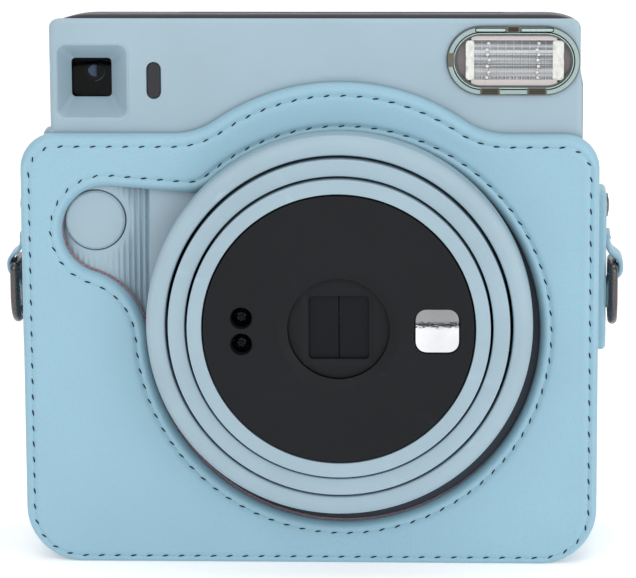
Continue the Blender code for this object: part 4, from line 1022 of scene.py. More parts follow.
def build_middle_frame():
    """The dark frame between the covers, with the film slot and its raised lip on top."""
    front, back = FRONT_COVER_DEPTH + 0.3 * MM, FRAME_BACK
    inner = boxed(
        (BODY_LEFT + BODY_RIGHT) / 2, 62.5 * MM, (BODY_RIGHT - BODY_LEFT) / 2 - 2.6 * MM, 57.5 * MM, 4 * MM
    )
    outer = body_outline(BODY_TOP + FRAME_PROUD_TOP, FRAME_PROUD, (9.5 * MM, 3.2 * MM), (8 * MM, 3.2 * MM))
    mesh = slab("frame_band", [outer, inner], sloped(to_front(front)), front - back, 0.35 * MM)
    band = piece("frame_band", mesh, "body", frame_plastic, ["middle_frame"])
    top = BODY_TOP + FRAME_PROUD_TOP - 20 * MM * tan(TOP_SLOPE)
    slot_x, slot_depths = (SLOT[0] + 1 * MM, SLOT[1] - 1 * MM), mm(18.9, 22.2)
    mouth = box_cutter("slot_mouth", slot_x, slot_depths, (top - 9 * MM, top + 3 * MM))
    cut = band.modifiers.new("slot", "BOOLEAN")
    cut.object = mouth
    band.modifiers.move(len(band.modifiers) - 1, 0)
    apply_first(band)
    bpy.data.objects.remove(mouth, do_unlink=True)

    def place(x, depth, h):
        return (x, FRONT_Y + depth, BODY_TOP + FRAME_PROUD_TOP + h - depth * tan(TOP_SLOPE))

    loops = [
        rounded_box(*SLOT, 16.7 * MM, 23.4 * MM, 1.2 * MM),
        rounded_box(*slot_x, *slot_depths, 0.6 * MM),
    ]
    lip = slab("film_slot_lip", loops, place, -1.2 * MM, 0.35 * MM)
    for vertex in lip.vertices:
        vertex.co.z += 0.01 * MM
    piece("film_slot_lip", lip, "body", deep_plastic)


def box_cutter(name, across, depths, heights):
    """A box to cut with, over its ranges of x, depth and z."""
    work = bmesh.new()
    size = Vector((across[1] - across[0], depths[1] - depths[0], heights[1] - heights[0]))
    centre = Vector((sum(across) / 2, FRONT_Y + sum(depths) / 2, sum(heights) / 2))
    bmesh.ops.create_cube(work, size=1, matrix=Matrix.Translation(centre) @ Matrix.Diagonal(size).to_4x4())
    mesh = bpy.data.meshes.new(name)
    work.to_mesh(mesh)
    work.free()
    obj = bpy.data.objects.new(name, mesh)
    bpy.context.scene.collection.objects.link(obj)
    return obj


def apply_first(obj):
    """Apply an object's first modifier, whatever comes after it."""
    others = list(obj.modifiers)[1:]
    shown = [m.show_viewport for m in others]
    for m in others:
        m.show_viewport = False
    graph = bpy.context.evaluated_depsgraph_get()
    graph.update()
    mesh = bpy.data.meshes.new_from_object(obj.evaluated_get(graph))
    mesh.name = obj.name
    old = obj.data
    obj.modifiers.remove(obj.modifiers[0])
    obj.data = mesh
    bpy.data.meshes.remove(old)
    for m, was in zip(others, shown):
        m.show_viewport = was


# The lens


def build_lens():
    base = softened(
        mm(
            (42.0, -9.2), (42.0, -0.3), (37.2, -0.3), (37.2, 13.0), (35.9, 13.0), (35.9, -3.6),
            (41.1, -3.6), (41.1, -9.2),
        ),
        0.2 * MM,
    )
    piece("lens_collar", turned("lens_collar", base), "body", deep_plastic, ["lens_base"])
    ring = softened(
        [
            (41.4 * MM, -12.0 * MM),
            (43.1 * MM, -11.5 * MM),
            (RING_RADIUS, -10.6 * MM),
            (RING_RADIUS, -4.0 * MM),
            (42.3 * MM, -4.0 * MM),
            (42.3 * MM, -10.4 * MM),
            (40.8 * MM, -10.4 * MM),
            (40.8 * MM, -4.0 * MM),
            (RING_BORE, -4.0 * MM),
            (RING_BORE, -12.0 * MM),
        ],
        0.55 * MM,
        6,
    )
    piece(
        "turning_ring",
        turned("turning_ring", ring, steps=200),
        "ring",
        blue_plastic,
        ["lens_ring"],
    )
    for name, body, node, (inner, outer), front, back in (
        ("outer_band", "outer_barrel", "barrel_outer_band", OUTER_BAND, -13.2 * MM, -4.0 * MM),
        ("inner_band", "inner_barrel", "barrel_inner_band", INNER_BAND, -14.5 * MM, 10.0 * MM),
    ):
        profile = softened(
            [
                (outer, front),
                (outer, back),
                (outer - 1.1 * MM, back),
                (outer - 1.1 * MM, front + 1.4 * MM),
                (inner + 1.1 * MM, front + 1.4 * MM),
                (inner + 1.1 * MM, front + 7.0 * MM),
                (inner, front + 7.0 * MM),
                (inner, front),
            ],
            0.28 * MM,
        )
        piece(name, turned(name, profile, steps=200), body, blue_plastic, [node])


def build_disc():
    loops = [
        circle(LENS_X, LENS_Z, DISC_RADIUS, 240),
        circle(LENS_X, LENS_Z, TUNNEL_RADIUS, 160),
        circle(RANGE_LENS_X, RANGE_LENS_Z[0], 2.5 * MM, 64),
        circle(RANGE_LENS_X, RANGE_LENS_Z[1], 2.5 * MM, 64),
        rounded_box(
            MIRROR[0] - 0.25 * MM,
            MIRROR[1] + 0.25 * MM,
            MIRROR[2] - 0.25 * MM,
            MIRROR[3] + 0.25 * MM,
            2.7 * MM,
        ),
    ]

    def face(points, distance, outer):
        away = np.hypot(points[:, 0] - LENS_X, points[:, 1] - LENS_Z)
        chamfer = -1.0 * MM * np.clip((TUNNEL_MOUTH - away) / (TUNNEL_MOUTH - TUNNEL_RADIUS), 0, 1)
        return np.where(away < TUNNEL_MOUTH + 0.3 * MM, chamfer, round_over(distance, 0.22 * MM))

    rings = mm(0.02, 0.06, 0.12, 0.22, 0.35, 1.1, 2.15, 2.25, 2.35)
    mesh = relief("lens_disc", loops, to_front(DISC_FRONT), -1.4 * MM, face, rings, 4 * MM, 0.35 * MM)
    piece("lens_disc", mesh, "inner_barrel", black_plastic, ["front_disc"], even=False)
    rim = DISC_FRONT + 1.7 * MM
    hood = softened(
        [
            (13.6 * MM, rim),
            (13.6 * MM, -11.3 * MM),
            (TUNNEL_RADIUS + 0.2 * MM, -11.3 * MM),
            (TUNNEL_RADIUS + 0.2 * MM, rim),
        ],
        0.15 * MM,
    )
    mesh = turned("lens_tunnel", hood, steps=160)
    piece("lens_tunnel", mesh, "inner_barrel", black_plastic, ["lens_hood"])
    half_width, half_height = APERTURE[0] / 2, APERTURE[1] / 2

    def sunk(points, distance):
        across = np.abs(points[:, 0] - LENS_X) - half_width
        up = np.abs(points[:, 1] - LENS_Z) - half_height
        away = np.maximum(across, up)
        return -0.6 * MM * (1 - step_up(away, 0.1 * MM, 1.4 * MM))

    opening = boxed(LENS_X, LENS_Z, half_width, half_height, 0.9 * MM)
    floor = [circle(LENS_X, LENS_Z, TUNNEL_RADIUS, 120), opening]
    mesh = slab(
        "tunnel_floor", floor, to_front(TUNNEL_FLOOR), -1.1 * MM, 0.12 * MM, 0.7 * MM, 0.4 * MM, sunk
    )
    piece("tunnel_floor", mesh, "inner_barrel", black_plastic)


def build_cover_leaves():
    for side, name, body in ((-1, "cover_leaf_left", "left_cover"), (1, "cover_leaf_right", "right_cover")):
        edges = sorted((LENS_X + side * 0.08 * MM, LENS_X + side * 9.0 * MM))
        outline = rounded_box(*edges, LENS_Z - 8.2 * MM, LENS_Z + 8.2 * MM, 0.3 * MM, 3)
        mesh = slab(name, [outline], to_front(LEAF_DEPTH), -1.0 * MM, 0.12 * MM, 2 * MM)
        piece(name, mesh, body, leaf_plastic, [name.replace("cover_leaf", "lens_cover")])


def build_disc_fittings():
    def domed(points, distance):
        across = (points[:, 0] - (MIRROR[0] + MIRROR[1]) / 2) / (6 * MM)
        up = (points[:, 1] - (MIRROR[2] + MIRROR[3]) / 2 + 4.3 * MM) / (6 * MM)
        return -0.30 * MM * (across**2 + up**2)

    outline = rounded_box(*MIRROR, 2.45 * MM)
    mesh = slab(
        "portrait_mirror", [outline], to_front(-14.1 * MM), -1.2 * MM, 0.08 * MM, 0.6 * MM, 0.4 * MM, domed
    )
    piece("portrait_mirror", mesh, "inner_barrel", mirror_metal, ["selfie_mirror"])
    for node, z in (("range_lens_upper", RANGE_LENS_Z[0]), ("range_lens_lower", RANGE_LENS_Z[1])):
        dome = [
            (2.0 * MM * sin(a) / sin(1.0), -13.3 * MM + 2.2 * MM * (1 - cos(a)))
            for a in np.linspace(0, 1.0, 12)
        ]
        profile = dome + mm((2.2, -12.2), (2.2, -11.8), (0, -11.8))
        mesh = turned(node + "_dome", profile, (RANGE_LENS_X, z), 48)
        piece(node + "_dome", mesh, "inner_barrel", finder_pane, [node])
        cup = softened(
            mm((2.55, -14.3), (2.55, -11.0), (0.6, -11.0), (0.6, -11.6), (2.3, -11.7), (2.3, -13.6)),
            0.1 * MM,
        )
        mesh = turned(node + "_cup", cup, (RANGE_LENS_X, z), 48)
        piece(node + "_cup", mesh, "inner_barrel", deep_plastic)


# The flash


def flash_piece(name, mesh, finish, replaces=()):
    piece(name, mesh, "body", finish, replaces, even=False)


def flash_box(left, right, bottom, top, radius):
    """A rounded box placed from the flash's centre, in millimetres."""
    corners = (FLASH_X + left * MM, FLASH_X + right * MM, FLASH_Z + bottom * MM, FLASH_Z + top * MM)
    return rounded_box(*corners, radius * MM, 3)


def flash_ring(name, outer, inner, front, thickness, finish, rounding=0.08 * MM):
    """A band that follows the flash's edge between two distances from it."""
    loops = [stadium(FLASH_X, FLASH_Z, FLASH_HALF[0] - d, FLASH_HALF[1] - d) for d in (outer, inner)]
    mesh = slab(name, loops, to_front(front), -thickness, rounding, 1 * MM, 0.3 * MM)
    flash_piece(name, mesh, finish)


def build_flash():
    """The flash: a clear rim held by hooks, a grey recess, and a reflector behind a moulded grid."""
    half_u, half_v = FLASH_HALF

    def rim_height(points, distance, outer):
        groove = np.exp(-(((distance - 0.85 * MM) / (0.5 * MM)) ** 2))
        return np.where(
            outer, round_over(distance, 0.35 * MM), round_over(distance, 0.2 * MM)
        ) - 0.12 * MM * groove

    loops = [stadium(FLASH_X, FLASH_Z, half_u - d, half_v - d) for d in (0.16 * MM, 1.2 * MM)]
    rings = mm(0.02, 0.08, 0.16, 0.26, 0.36, 0.48, 0.58)
    mesh = relief("flash_rim", loops, to_front(-1.0 * MM), -1.4 * MM, rim_height, rings, 0.5 * MM, 0.3 * MM)
    flash_piece("flash_rim", mesh, rim_plastic, ["flash_window"])
    flash_ring("flash_outer_line", 0.0, 0.15 * MM, -0.85 * MM, 1.2 * MM, flash_shade, 0.04 * MM)
    flash_ring("flash_inner_line", 1.19 * MM, 1.44 * MM, -0.9 * MM, 1.2 * MM, deep_plastic, 0.04 * MM)
    flash_ring("flash_bezel", 1.44 * MM, 1.68 * MM, -0.95 * MM, 1.5 * MM, rim_pale, 0.1 * MM)
    flash_ring("flash_step", 1.68 * MM, 2.1 * MM, -0.2 * MM, 1.0 * MM, flash_shade, 0.15 * MM)
    edge = stadium(FLASH_X, FLASH_Z, half_u - 2.0 * MM, half_v - 2.0 * MM)
    recess = slab("flash_recess", [edge], to_front(0.85 * MM), -0.5 * MM, 0.2 * MM)
    flash_piece("flash_recess", recess, flash_grey, ["flash_housing"])
    build_rim_slots()
    build_flash_grid()
    for i, (bottom, top) in enumerate(((4.5, 5.7), (-5.88, -4.35))):
        mesh = slab(
            f"flash_bar_{i}",
            [flash_box(-9.65, 9.9, bottom, top, 0.2)],
            to_front(0.0),
            -0.8 * MM,
            0.3 * MM,
            1 * MM,
            0.3 * MM,
        )
        flash_piece(f"flash_bar_{i}", mesh, flash_pale)
    for i, (left, right) in enumerate(((-10.85, -8.95), (8.8, 11.35))):
        build_crumpled_end(i, flash_box(left, right, -4.5, 4.58, 0.5))
    build_flash_clips()


def build_rim_slots():
    """Two long pale slots in the rim's top, with dark outlines."""
    for i, (left, right) in enumerate(((-8.5, -1.85), (1.65, 8.8))):
        for word, grow, front, finish in (
            ("line", 0.18, -1.06, deep_plastic), ("fill", 0.0, -1.12, rim_pale)
        ):
            outline = flash_box(left - grow, right + grow, 6.74 - grow, 7.36 + grow, 0.2)
            mesh = slab(
                f"flash_slot_{word}_{i}",
                [outline],
                to_front(front * MM),
                -0.2 * MM,
                0.05 * MM,
                1 * MM,
                0.2 * MM,
            )
            flash_piece(f"flash_slot_{word}_{i}", mesh, finish)


def build_flash_grid():
    """The moulded pane over the reflector: level cylinders crossed by thin upright lines."""
    pitch = 1.8 * MM
    bands = np.array([4.4, 1.75, 0.95, -0.3, -0.95, -1.6, -3.1, -4.4]) * MM

    def grid_height(points, distance, outer):
        v = points[:, 1] - FLASH_Z
        number = np.clip(np.searchsorted(-bands, -v) - 1, 0, len(bands) - 2)
        top, bottom = bands[number], bands[number + 1]
        share = (v - bottom) / (top - bottom)
        swell = 0.30 * (top - bottom) * (1 - (2 * share - 1) ** 2)
        u = (points[:, 0] - FLASH_X) / pitch
        lines = np.exp(-(((u - np.round(u)) * pitch / (0.10 * MM)) ** 2))
        return swell + 0.14 * MM * lines - 0.45 * MM

    columns = np.arange(FLASH_X - 9.1 * MM, FLASH_X + 8.9 * MM, 0.1 * MM)
    rows = np.arange(FLASH_Z - 4.35 * MM, FLASH_Z + 4.35 * MM, 0.16 * MM)
    grid = np.array([(u, v) for u in columns for v in rows])
    loops = [flash_box(-9.0, 8.87, -4.35, 4.35, 0.2)]
    mesh = relief("flash_grid", loops, to_front(0.1 * MM), -0.7 * MM, grid_height, (), 0, 0.16 * MM, grid)
    flash_piece("flash_grid", mesh, grid_reflection_finish)
    vertices, faces = [], []
    for column in (-5.8, 5.46):
        for row in (3.9, 3.2, 2.5, 1.9, 1.35, 0.7, 0.1, -0.6, -1.3, -2.05, -2.7, -3.3, -3.9):
            swing = 0.25 * sin(row * 7.0 + column)
            centre = Vector((FLASH_X + (column + swing) * MM, FRONT_Y - 0.1 * MM, FLASH_Z + row * MM))
            size = (0.24 + 0.10 * cos(row * 5.0)) * MM
            more, more_faces = capsule(
                centre, Vector((1, 0, 0)), Vector((0, -1, 0)), 2.4 * size, 2 * size, 0.7 * MM, 4, 4
            )
            faces += [tuple(len(vertices) + k for k in face) for face in more_faces]
            vertices += more
    stars = new_mesh("flash_star_points", vertices, faces)
    flash_piece("flash_star_points", stars, flash_white)


def build_crumpled_end(i, outline):
    """A crinkled white foil cheek at one end of the reflector."""

    def creased(points, distance):
        rough = [noise.voronoi(Vector((u * 800, v * 620, i * 7.0)))[0][0] for u, v in points]
        return 1.1 * MM * (np.array(rough) - 0.45)

    mesh = slab(
        f"flash_foil_{i}", [outline], to_front(0.0), -0.8 * MM, 0.2 * MM, 0.25 * MM, 0.25 * MM, creased
    )
    flash_piece(f"flash_foil_{i}", mesh, flash_white)


def build_flash_clips():
    """The snap hooks that hold the window: a lighter frame round a dark core."""
    marks = (
        ("top", -0.1, 7.2, 1.5, 0.7),
        ("left", -14.15, 0.24, 0.7, 1.6),
        ("lower_left", -5.32, -6.95, 2.26, 0.8),
        ("lower_right", 5.28, -6.93, 2.26, 0.8),
    )
    for word, x, z, wide, tall in marks:
        core_wide, core_tall = (wide - 0.35, tall) if wide > tall else (wide, tall - 0.35)
        frame_box = flash_box(x - wide, x + wide, z - tall, z + tall, 0.15)
        mesh = slab(
            f"flash_clip_{word}", [frame_box], to_front(-1.02 * MM), -1.0 * MM, 0.1 * MM, 1 * MM, 0.2 * MM
        )
        flash_piece(f"flash_clip_{word}", mesh, flash_hook)
        bars = 3 if word.startswith("lower") else 1
        half = core_tall * 0.8 / bars
        for k in range(bars):
            middle_z = z + half * (2 * k + 1 - bars)
            core = flash_box(
                x - core_wide, x + core_wide, middle_z - half + 0.06, middle_z + half - 0.06, 0.05
            )
            mesh = slab(
                f"flash_hook_{word}_{k}",
                [core],
                to_front(-1.12 * MM),
                -0.3 * MM,
                0.03 * MM,
                1 * MM,
                0.2 * MM,
            )
            flash_piece(f"flash_hook_{word}_{k}", mesh, flash_hook_dark if word != "left" else flash_hook)


# The rear of the camera body


def build_rear():
    """The rear cover: a band round the body and a plate with the openings for the door and the finder."""
    inner = boxed(
        (BODY_LEFT + BODY_RIGHT) / 2,
        (BODY_BOTTOM + BODY_TOP) / 2,
        (BODY_RIGHT - BODY_LEFT) / 2 - 1.8 * MM,
        (BODY_TOP - BODY_BOTTOM) / 2 - 3.4 * MM,
        4 * MM,
    )
    start = FRAME_BACK + 0.3 * MM
    band = slab(
        "rear_band",
        [body_outline(), inner],
        sloped(to_front(start)),
        start - BODY_BACK + 1.9 * MM,
        0.3 * MM,
    )
    piece("rear_band", band, "body", blue_plastic, ["rear_cover"])
    gap, hinge_room = 0.5 * MM, 4.0 * MM
    loops = [
        body_outline(),
        rounded_box(DOOR[0] - gap, DOOR[1] + hinge_room, DOOR[2] - gap, DOOR[3] + gap, 1.2 * MM),
        boxed(FINDER_X, EYEPIECE_Z, 6.5 * MM, 5.5 * MM, 1.0 * MM),
        boxed(COUNTER_X, COUNTER_Z, 3.5 * MM, 3.0 * MM, 1.0 * MM),
        rounded_box(LATCH[0] - 0.3 * MM, LATCH[1] + 0.3 * MM, 73 * MM, 85 * MM, 0.6 * MM),
    ]

    def height(points, distance, outer):
        return np.where(outer, round_over(distance, 1.5 * MM), round_over(distance, 0.3 * MM))

    rings = [0.02 * MM, 0.08 * MM, 0.18 * MM, 0.3 * MM, 0.6 * MM, 1.0 * MM, 1.5 * MM, 2.0 * MM]
    mesh = relief(
        "rear_shell", loops, sloped(to_back(BODY_BACK)), -1.8 * MM, height, rings, 4 * MM, 0.6 * MM
    )
    piece("rear_shell", mesh, "body", blue_plastic)


def build_film_door():
    """The film door with its raised border, its window and its hinge barrels."""
    window = boxed(PACK_WINDOW[0], PACK_WINDOW[1], 11.0 * MM, 4.0 * MM, 1.0 * MM)

    def height(points, distance, outer):
        border = round_over(distance, 0.5 * MM)
        sunk = -0.4 * MM * step_up(distance, 4.6 * MM, 5.8 * MM)
        rim = -0.4 * MM * step_up(distance, 1.3 * MM, 2.1 * MM)
        return np.where(outer, border + sunk, round_over(distance, 0.3 * MM) + rim)

    rings = [0.05 * MM, 0.15 * MM, 0.3 * MM, 0.5 * MM, 0.9 * MM, 1.3 * MM, 1.6 * MM, 1.9 * MM, 2.2 * MM]
    rings += [4.4 * MM, 4.8 * MM, 5.2 * MM, 5.6 * MM, 6.0 * MM]
    outline = rounded_box(*DOOR, 1.5 * MM)
    mesh = relief(
        "film_door_panel", [outline, window], to_back(DOOR_FACE), -2.8 * MM, height, rings, 4 * MM, 0.7 * MM
    )
    piece("film_door_panel", mesh, "door", blue_plastic, ["film_door"])
    pane = slab(
        "film_window_pane",
        [boxed(PACK_WINDOW[0], PACK_WINDOW[1], 10.7 * MM, 3.7 * MM, 0.8 * MM)],
        to_back(DOOR_FACE - 0.6 * MM),
        -1.6 * MM,
        0.25 * MM,
    )
    piece("film_window_pane", pane, "door", smoked_plastic, ["pack_window"])
    for i, bottom in enumerate(KNUCKLE_BOTTOMS):
        barrel = softened(mm((0.7, 0), (1.4, 0), (1.4, 14), (0.7, 14)), 0.2 * MM)
        mesh = stood(turned(f"door_knuckle_{i}", barrel, (0, 0), 40), HINGE_X, HINGE_DEPTH, bottom)
        piece(f"door_knuckle_{i}", mesh, "door", blue_plastic)
        leaf = rounded_box(47 * MM, HINGE_X - 0.9 * MM, bottom + 0.5 * MM, bottom + 13.5 * MM, 0.3 * MM)
        mesh = slab(f"door_leaf_{i}", [leaf], to_back(HINGE_DEPTH + 0.5 * MM), -1.0 * MM, 0.15 * MM)
        piece(f"door_leaf_{i}", mesh, "door", blue_plastic)


def stood(mesh, x, depth, z):
    """Turns a mesh made about an axis along Y so that the axis stands up at a place."""
    mesh.transform(Matrix.Translation((0, -FRONT_Y, 0)))
    mesh.transform(Matrix.Rotation(radians(90), 4, "X"))
    mesh.transform(Matrix.Translation((x, FRONT_Y + depth, z)))
    return mesh


def build_latch():
    def ribbed(points, distance):
        share = step_up(distance, 0.4 * MM, 0.8 * MM)
        return -0.3 * MM * share * (0.5 - 0.5 * np.cos(2 * pi * (points[:, 1] - LATCH[2]) / (1.2 * MM)))

    mesh = slab(
        "latch_slide",
        [rounded_box(*LATCH, 0.6 * MM)],
        to_back(DOOR_FACE),
        -2.8 * MM,
        0.3 * MM,
        0.3 * MM,
        0.3 * MM,
        ribbed,
    )
    piece("latch_slide", mesh, "latch", frame_plastic, ["door_latch"])


def build_rear_windows():
    edge = boxed(FINDER_X, EYEPIECE_Z, 6.2 * MM, 5.2 * MM, 1.0 * MM)
    sight = boxed(FINDER_X, EYEPIECE_Z, 4.0 * MM, 3.5 * MM, 1.0 * MM)
    mesh = slab("eyepiece_frame", [edge, sight], to_back(42.4 * MM), -4.4 * MM, 0.8 * MM)
    piece("eyepiece_frame", mesh, "body", rubber, ["finder_eyepiece"])

    def domed(points, distance):
        return -0.03 * ((points[:, 0] - FINDER_X) ** 2 + (points[:, 1] - EYEPIECE_Z) ** 2) / (1 * MM)

    pane = boxed(FINDER_X, EYEPIECE_Z, 3.8 * MM, 3.3 * MM, 0.8 * MM)
    mesh = slab(
        "eyepiece_glass", [pane], to_back(41.0 * MM), -1.4 * MM, 0.15 * MM, 0.8 * MM, 0.4 * MM, domed
    )
    piece("eyepiece_glass", mesh, "body", glass)
    pane = boxed(COUNTER_X, COUNTER_Z, 3.2 * MM, 2.7 * MM, 0.8 * MM)
    mesh = slab("counter_pane", [pane], to_back(40.6 * MM), -1.7 * MM, 0.2 * MM)
    piece("counter_pane", mesh, "body", clear_plastic, ["counter_window"])


def build_screws():
    """Small cross-head screws in the rear cover."""

    def crossed(points, distance, centre):
        u, v = np.abs(points[:, 0] - centre[0]), np.abs(points[:, 1] - centre[1])
        narrow, wide = np.minimum(u, v), np.maximum(u, v)
        slot = (1 - step_up(narrow, 0.18 * MM, 0.32 * MM)) * (1 - step_up(wide, 0.7 * MM, 1.0 * MM))
        return -0.5 * MM * slot

    spots = ((-52 * MM, 20 * MM), (56.5 * MM, 20 * MM), (-30 * MM, 117.5 * MM), (56.5 * MM, 117.5 * MM))
    for i, spot in enumerate(spots):
        depth = BODY_BACK + 0.12 * MM
        mesh = slab(
            f"rear_screw_{i}",
            [circle(*spot, 1.6 * MM, 40)],
            sloped(to_back(depth)),
            -0.9 * MM,
            0.25 * MM,
            0.14 * MM,
            0.2 * MM,
            lambda points, distance, spot=spot: crossed(points, distance, spot),
        )
        piece(f"rear_screw_{i}", mesh, "body", steel)


def build_socket():
    """The tripod bush with its thread."""
    bottom, top = low("tripod_socket").z, high("tripod_socket").z
    height = top - bottom
    profile = [(0, height), (5.8 * MM, height), (5.8 * MM, 0.3 * MM), (5.5 * MM, 0), (3.6 * MM, 0)]
    level = 0.4 * MM
    while level < height - 2.6 * MM:
        profile += [
            (3.2 * MM, level),
            (2.9 * MM, level + 0.25 * MM),
            (2.9 * MM, level + 0.4 * MM),
            (3.2 * MM, level + 0.65 * MM),
        ]
        level += 1.27 * MM
    profile += [(2.8 * MM, height - 1.6 * MM), (0, height - 1.2 * MM)]
    mesh = stood(turned("tripod_bush", profile, (0, 0), 64), LENS_X, SOCKET_DEPTH, bottom)
    piece("tripod_bush", mesh, "body", steel, ["tripod_socket"])


# The leather half case


def needle_points(line):
    """Where the needle went through, along a line of points in order."""
    return resampled(line, STITCH_PITCH)


def offset_line(points, amount):
    """The line moved to its left by an amount, given as one number or a function of the points."""
    line = resampled(points, 0.5 * MM)
    shift = amount(line)[:, None] if callable(amount) else amount
    return line + shift * left_normals(line)


def nearest(points, targets):
    """Each point's distance to the nearest target."""
    result = np.empty(len(points))
    for first in range(0, len(points), 2000):
        part = points[first : first + 2000]
        gaps = part[:, None] - targets[None]
        result[first : first + 2000] = np.sqrt((gaps**2).sum(axis=2).min(axis=1))
    return result


def softly_uneven(points, size, scale, seed):
    """Slow swells in the leather."""
    return np.array([size * noise.noise(Vector((u * scale, v * scale, seed))) for u, v in points])


def sewn_height(points, distance, offset, needles, roll, seed):
    """A rolled edge of (width, depth), a sewn groove along it, and what swells between the two."""
    width, depth = roll
    h = round_over(distance, width, depth)
    h -= 0.20 * MM * np.exp(-(((distance - offset) / (0.42 * MM)) ** 2))
    h += 0.16 * MM * np.sin(pi * np.clip(distance / offset, 0, 1)) ** 2
    h += 0.10 * MM * np.exp(-(((distance - offset - 1.3 * MM) / (0.8 * MM)) ** 2))
    h -= 0.16 * MM * np.exp(-((nearest(points, needles) / (0.55 * MM)) ** 2))
    return h + softly_uneven(points, 0.14 * MM, 48.0, seed) * step_up(distance, 0, 6 * MM)


def top_share(points):
    """One on the front panel's top edges and nought on its sides and bottom."""
    return step_up(points[:, 1], CASE_SHOULDER - 9 * MM, CASE_SHOULDER - 2 * MM)


def outer_stitch_offset(points):
    low_share = 1 - step_up(points[:, 1], 3 * MM, 14 * MM)
    return 1.9 * MM + 1.0 * MM * top_share(points) - 0.45 * MM * low_share


def build_front_panel():
    outline, hole = case_outline(), keyhole_outline()
    outer_line = offset_line(outline, outer_stitch_offset)
    hole_line = offset_line(hole, -HOLE_STITCH)
    outer_needles, hole_needles = needle_points(outer_line), needle_points(hole_line)
    needles = np.vstack([outer_needles, hole_needles])

    def height(points, distance, outer):
        share = top_share(points)
        offset = np.where(outer, outer_stitch_offset(points), HOLE_STITCH)
        width = np.where(outer, 1.3 * MM + 1.0 * MM * share, 2.2 * MM)
        depth = np.where(outer, 1.0 * MM + 0.7 * MM * share, 1.8 * MM)
        return sewn_height(points, distance, offset, needles, (width, depth), 3.7)

    rings = SEAM_RINGS + mm(2.5, 2.75, 3.0, 3.25, 3.5, 3.9, 4.4, 5.2)
    place = to_front(CASE_FRONT[0])
    mesh = relief(
        "case_front",
        [outline, hole],
        place,
        CASE_FRONT[0] - CASE_FRONT[1],
        height,
        rings,
        2.6 * MM,
        0.55 * MM,
    )
    piece("case_front", mesh, "body", leather, ["case_front_panel"], even=False)
    sink = -0.22 * MM
    sew("case_front_outer", outer_needles, place, sink)
    sew("case_front_hole", hole_needles, place, sink)
    lining_hole = np.array(hole) + (0.25 * MM, 0.45 * MM)
    lining = offset_line(outline, 1.4 * MM)
    mesh = slab(
        "case_front_lining",
        [lining, lining_hole],
        to_front(CASE_FRONT[1] - 0.1 * MM),
        -0.35 * MM,
        0.1 * MM,
        8 * MM,
    )
    piece("case_front_lining", mesh, "body", leather_edge)
    build_gap_shade()


def build_gap_shade():
    """A dark flange round the lower right of the collar, behind the case's opening: painted shade for the
    gap.
    """
    crescent = arc(LENS_X, LENS_Z, 50.0 * MM, -128, 42, 60) + arc(LENS_X, LENS_Z, 42.6 * MM, 42, -128, 60)
    mesh = slab("gap_shade_crescent", [crescent], to_front(-0.32 * MM), -0.25 * MM, 0.05 * MM)
    piece("gap_shade_crescent", mesh, "body", gap_shade_plastic)


def capsule(centre, along, up, length, width, height, rounds=6, around=8):
    """A small rounded strand: vertices and faces."""
    side = along.cross(up).normalized()
    vertices, faces = [centre - along * length / 2], []
    for i in range(1, rounds):
        t = -cos(pi * i / rounds)
        swell = (1 - abs(t) ** 2.6) ** 0.5
        for j in range(around):
            angle = 2 * pi * j / around
            offset = side * cos(angle) * width / 2 * swell + up * sin(angle) * height / 2 * swell
            vertices.append(centre + along * t * length / 2 + offset)
    vertices.append(centre + along * length / 2)
    last = len(vertices) - 1
    for j in range(around):
        k = (j + 1) % around
        faces.append((0, 1 + k, 1 + j))
        faces.append((last, last - around + j, last - around + k))
        for i in range(rounds - 2):
            a = 1 + i * around
            faces.append((a + j, a + k, a + around + k, a + around + j))
    return vertices, faces


def sew(name, needles, place, sink, closed=True):
    """A dark strand in each needle hole, painted shade where the thread dives in, and pale thread lying
    between the holes.
    """
    shaded, pale = ([], []), ([], [])
    count = len(needles)
    for i in range(count if closed else count - 1):
        here, there = needles[i], needles[(i + 1) % count]
        way = (there - here) / np.hypot(*(there - here))
        middle_point = (here + there) / 2
        # the dark strand at each hole is painted shade; the pale one is the thread
        for store, at, length, width, height, lift, turn in (
            (shaded, here, 1.7 * MM, 0.34 * MM, 0.42 * MM, -0.04 * MM, 12),
            (pale, middle_point, 2.2 * MM, 0.16 * MM, 0.2 * MM, 0.0, 0),
        ):
            angle = radians(turn)
            u = way[0] * cos(angle) - way[1] * sin(angle)
            v = way[0] * sin(angle) + way[1] * cos(angle)
            start = Vector(place(at[0] - u * MM, at[1] - v * MM, sink + lift))
            end = Vector(place(at[0] + u * MM, at[1] + v * MM, sink + lift))
            centre = Vector(place(at[0], at[1], sink + lift))
            over = Vector(place(at[0], at[1], sink + lift + 1 * MM)) - centre
            along = (end - start).normalized()
            vertices, faces = capsule(centre, along, over.normalized(), length, width, height)
            first = len(store[0])
            store[0].extend(vertices)
            store[1].extend([tuple(first + k for k in face) for face in faces])
    for word, (vertices, faces), finish in (("shaded", shaded, needle_hole_shade), ("pale", pale, thread_pale)):
        mesh = new_mesh(f"{name}_thread_{word}", vertices, faces)
        piece(mesh.name, mesh, "body", finish, even=False)


def side_path():
    """The case's sides and bottom as one line, with its length and a placing of (along, depth, height)."""
    line = [(-CASE_HALF_WIDTH, CASE_SHOULDER)] + lower_outline() + [(CASE_HALF_WIDTH, CASE_SHOULDER)]
    line = resampled(line, 0.8 * MM, closed=False)
    along = np.concatenate([[0], np.cumsum(np.hypot(*np.diff(line, axis=0).T))])
    normals = -left_normals(line, closed=False)

    def place(s, depth, h):
        x, z = np.interp(s, along, line[:, 0]), np.interp(s, along, line[:, 1])
        nx, nz = np.interp(s, along, normals[:, 0]), np.interp(s, along, normals[:, 1])
        size = hypot(nx, nz)
        return (x + nx / size * h, FRONT_Y + depth, z + nz / size * h)

    return place, along[-1]


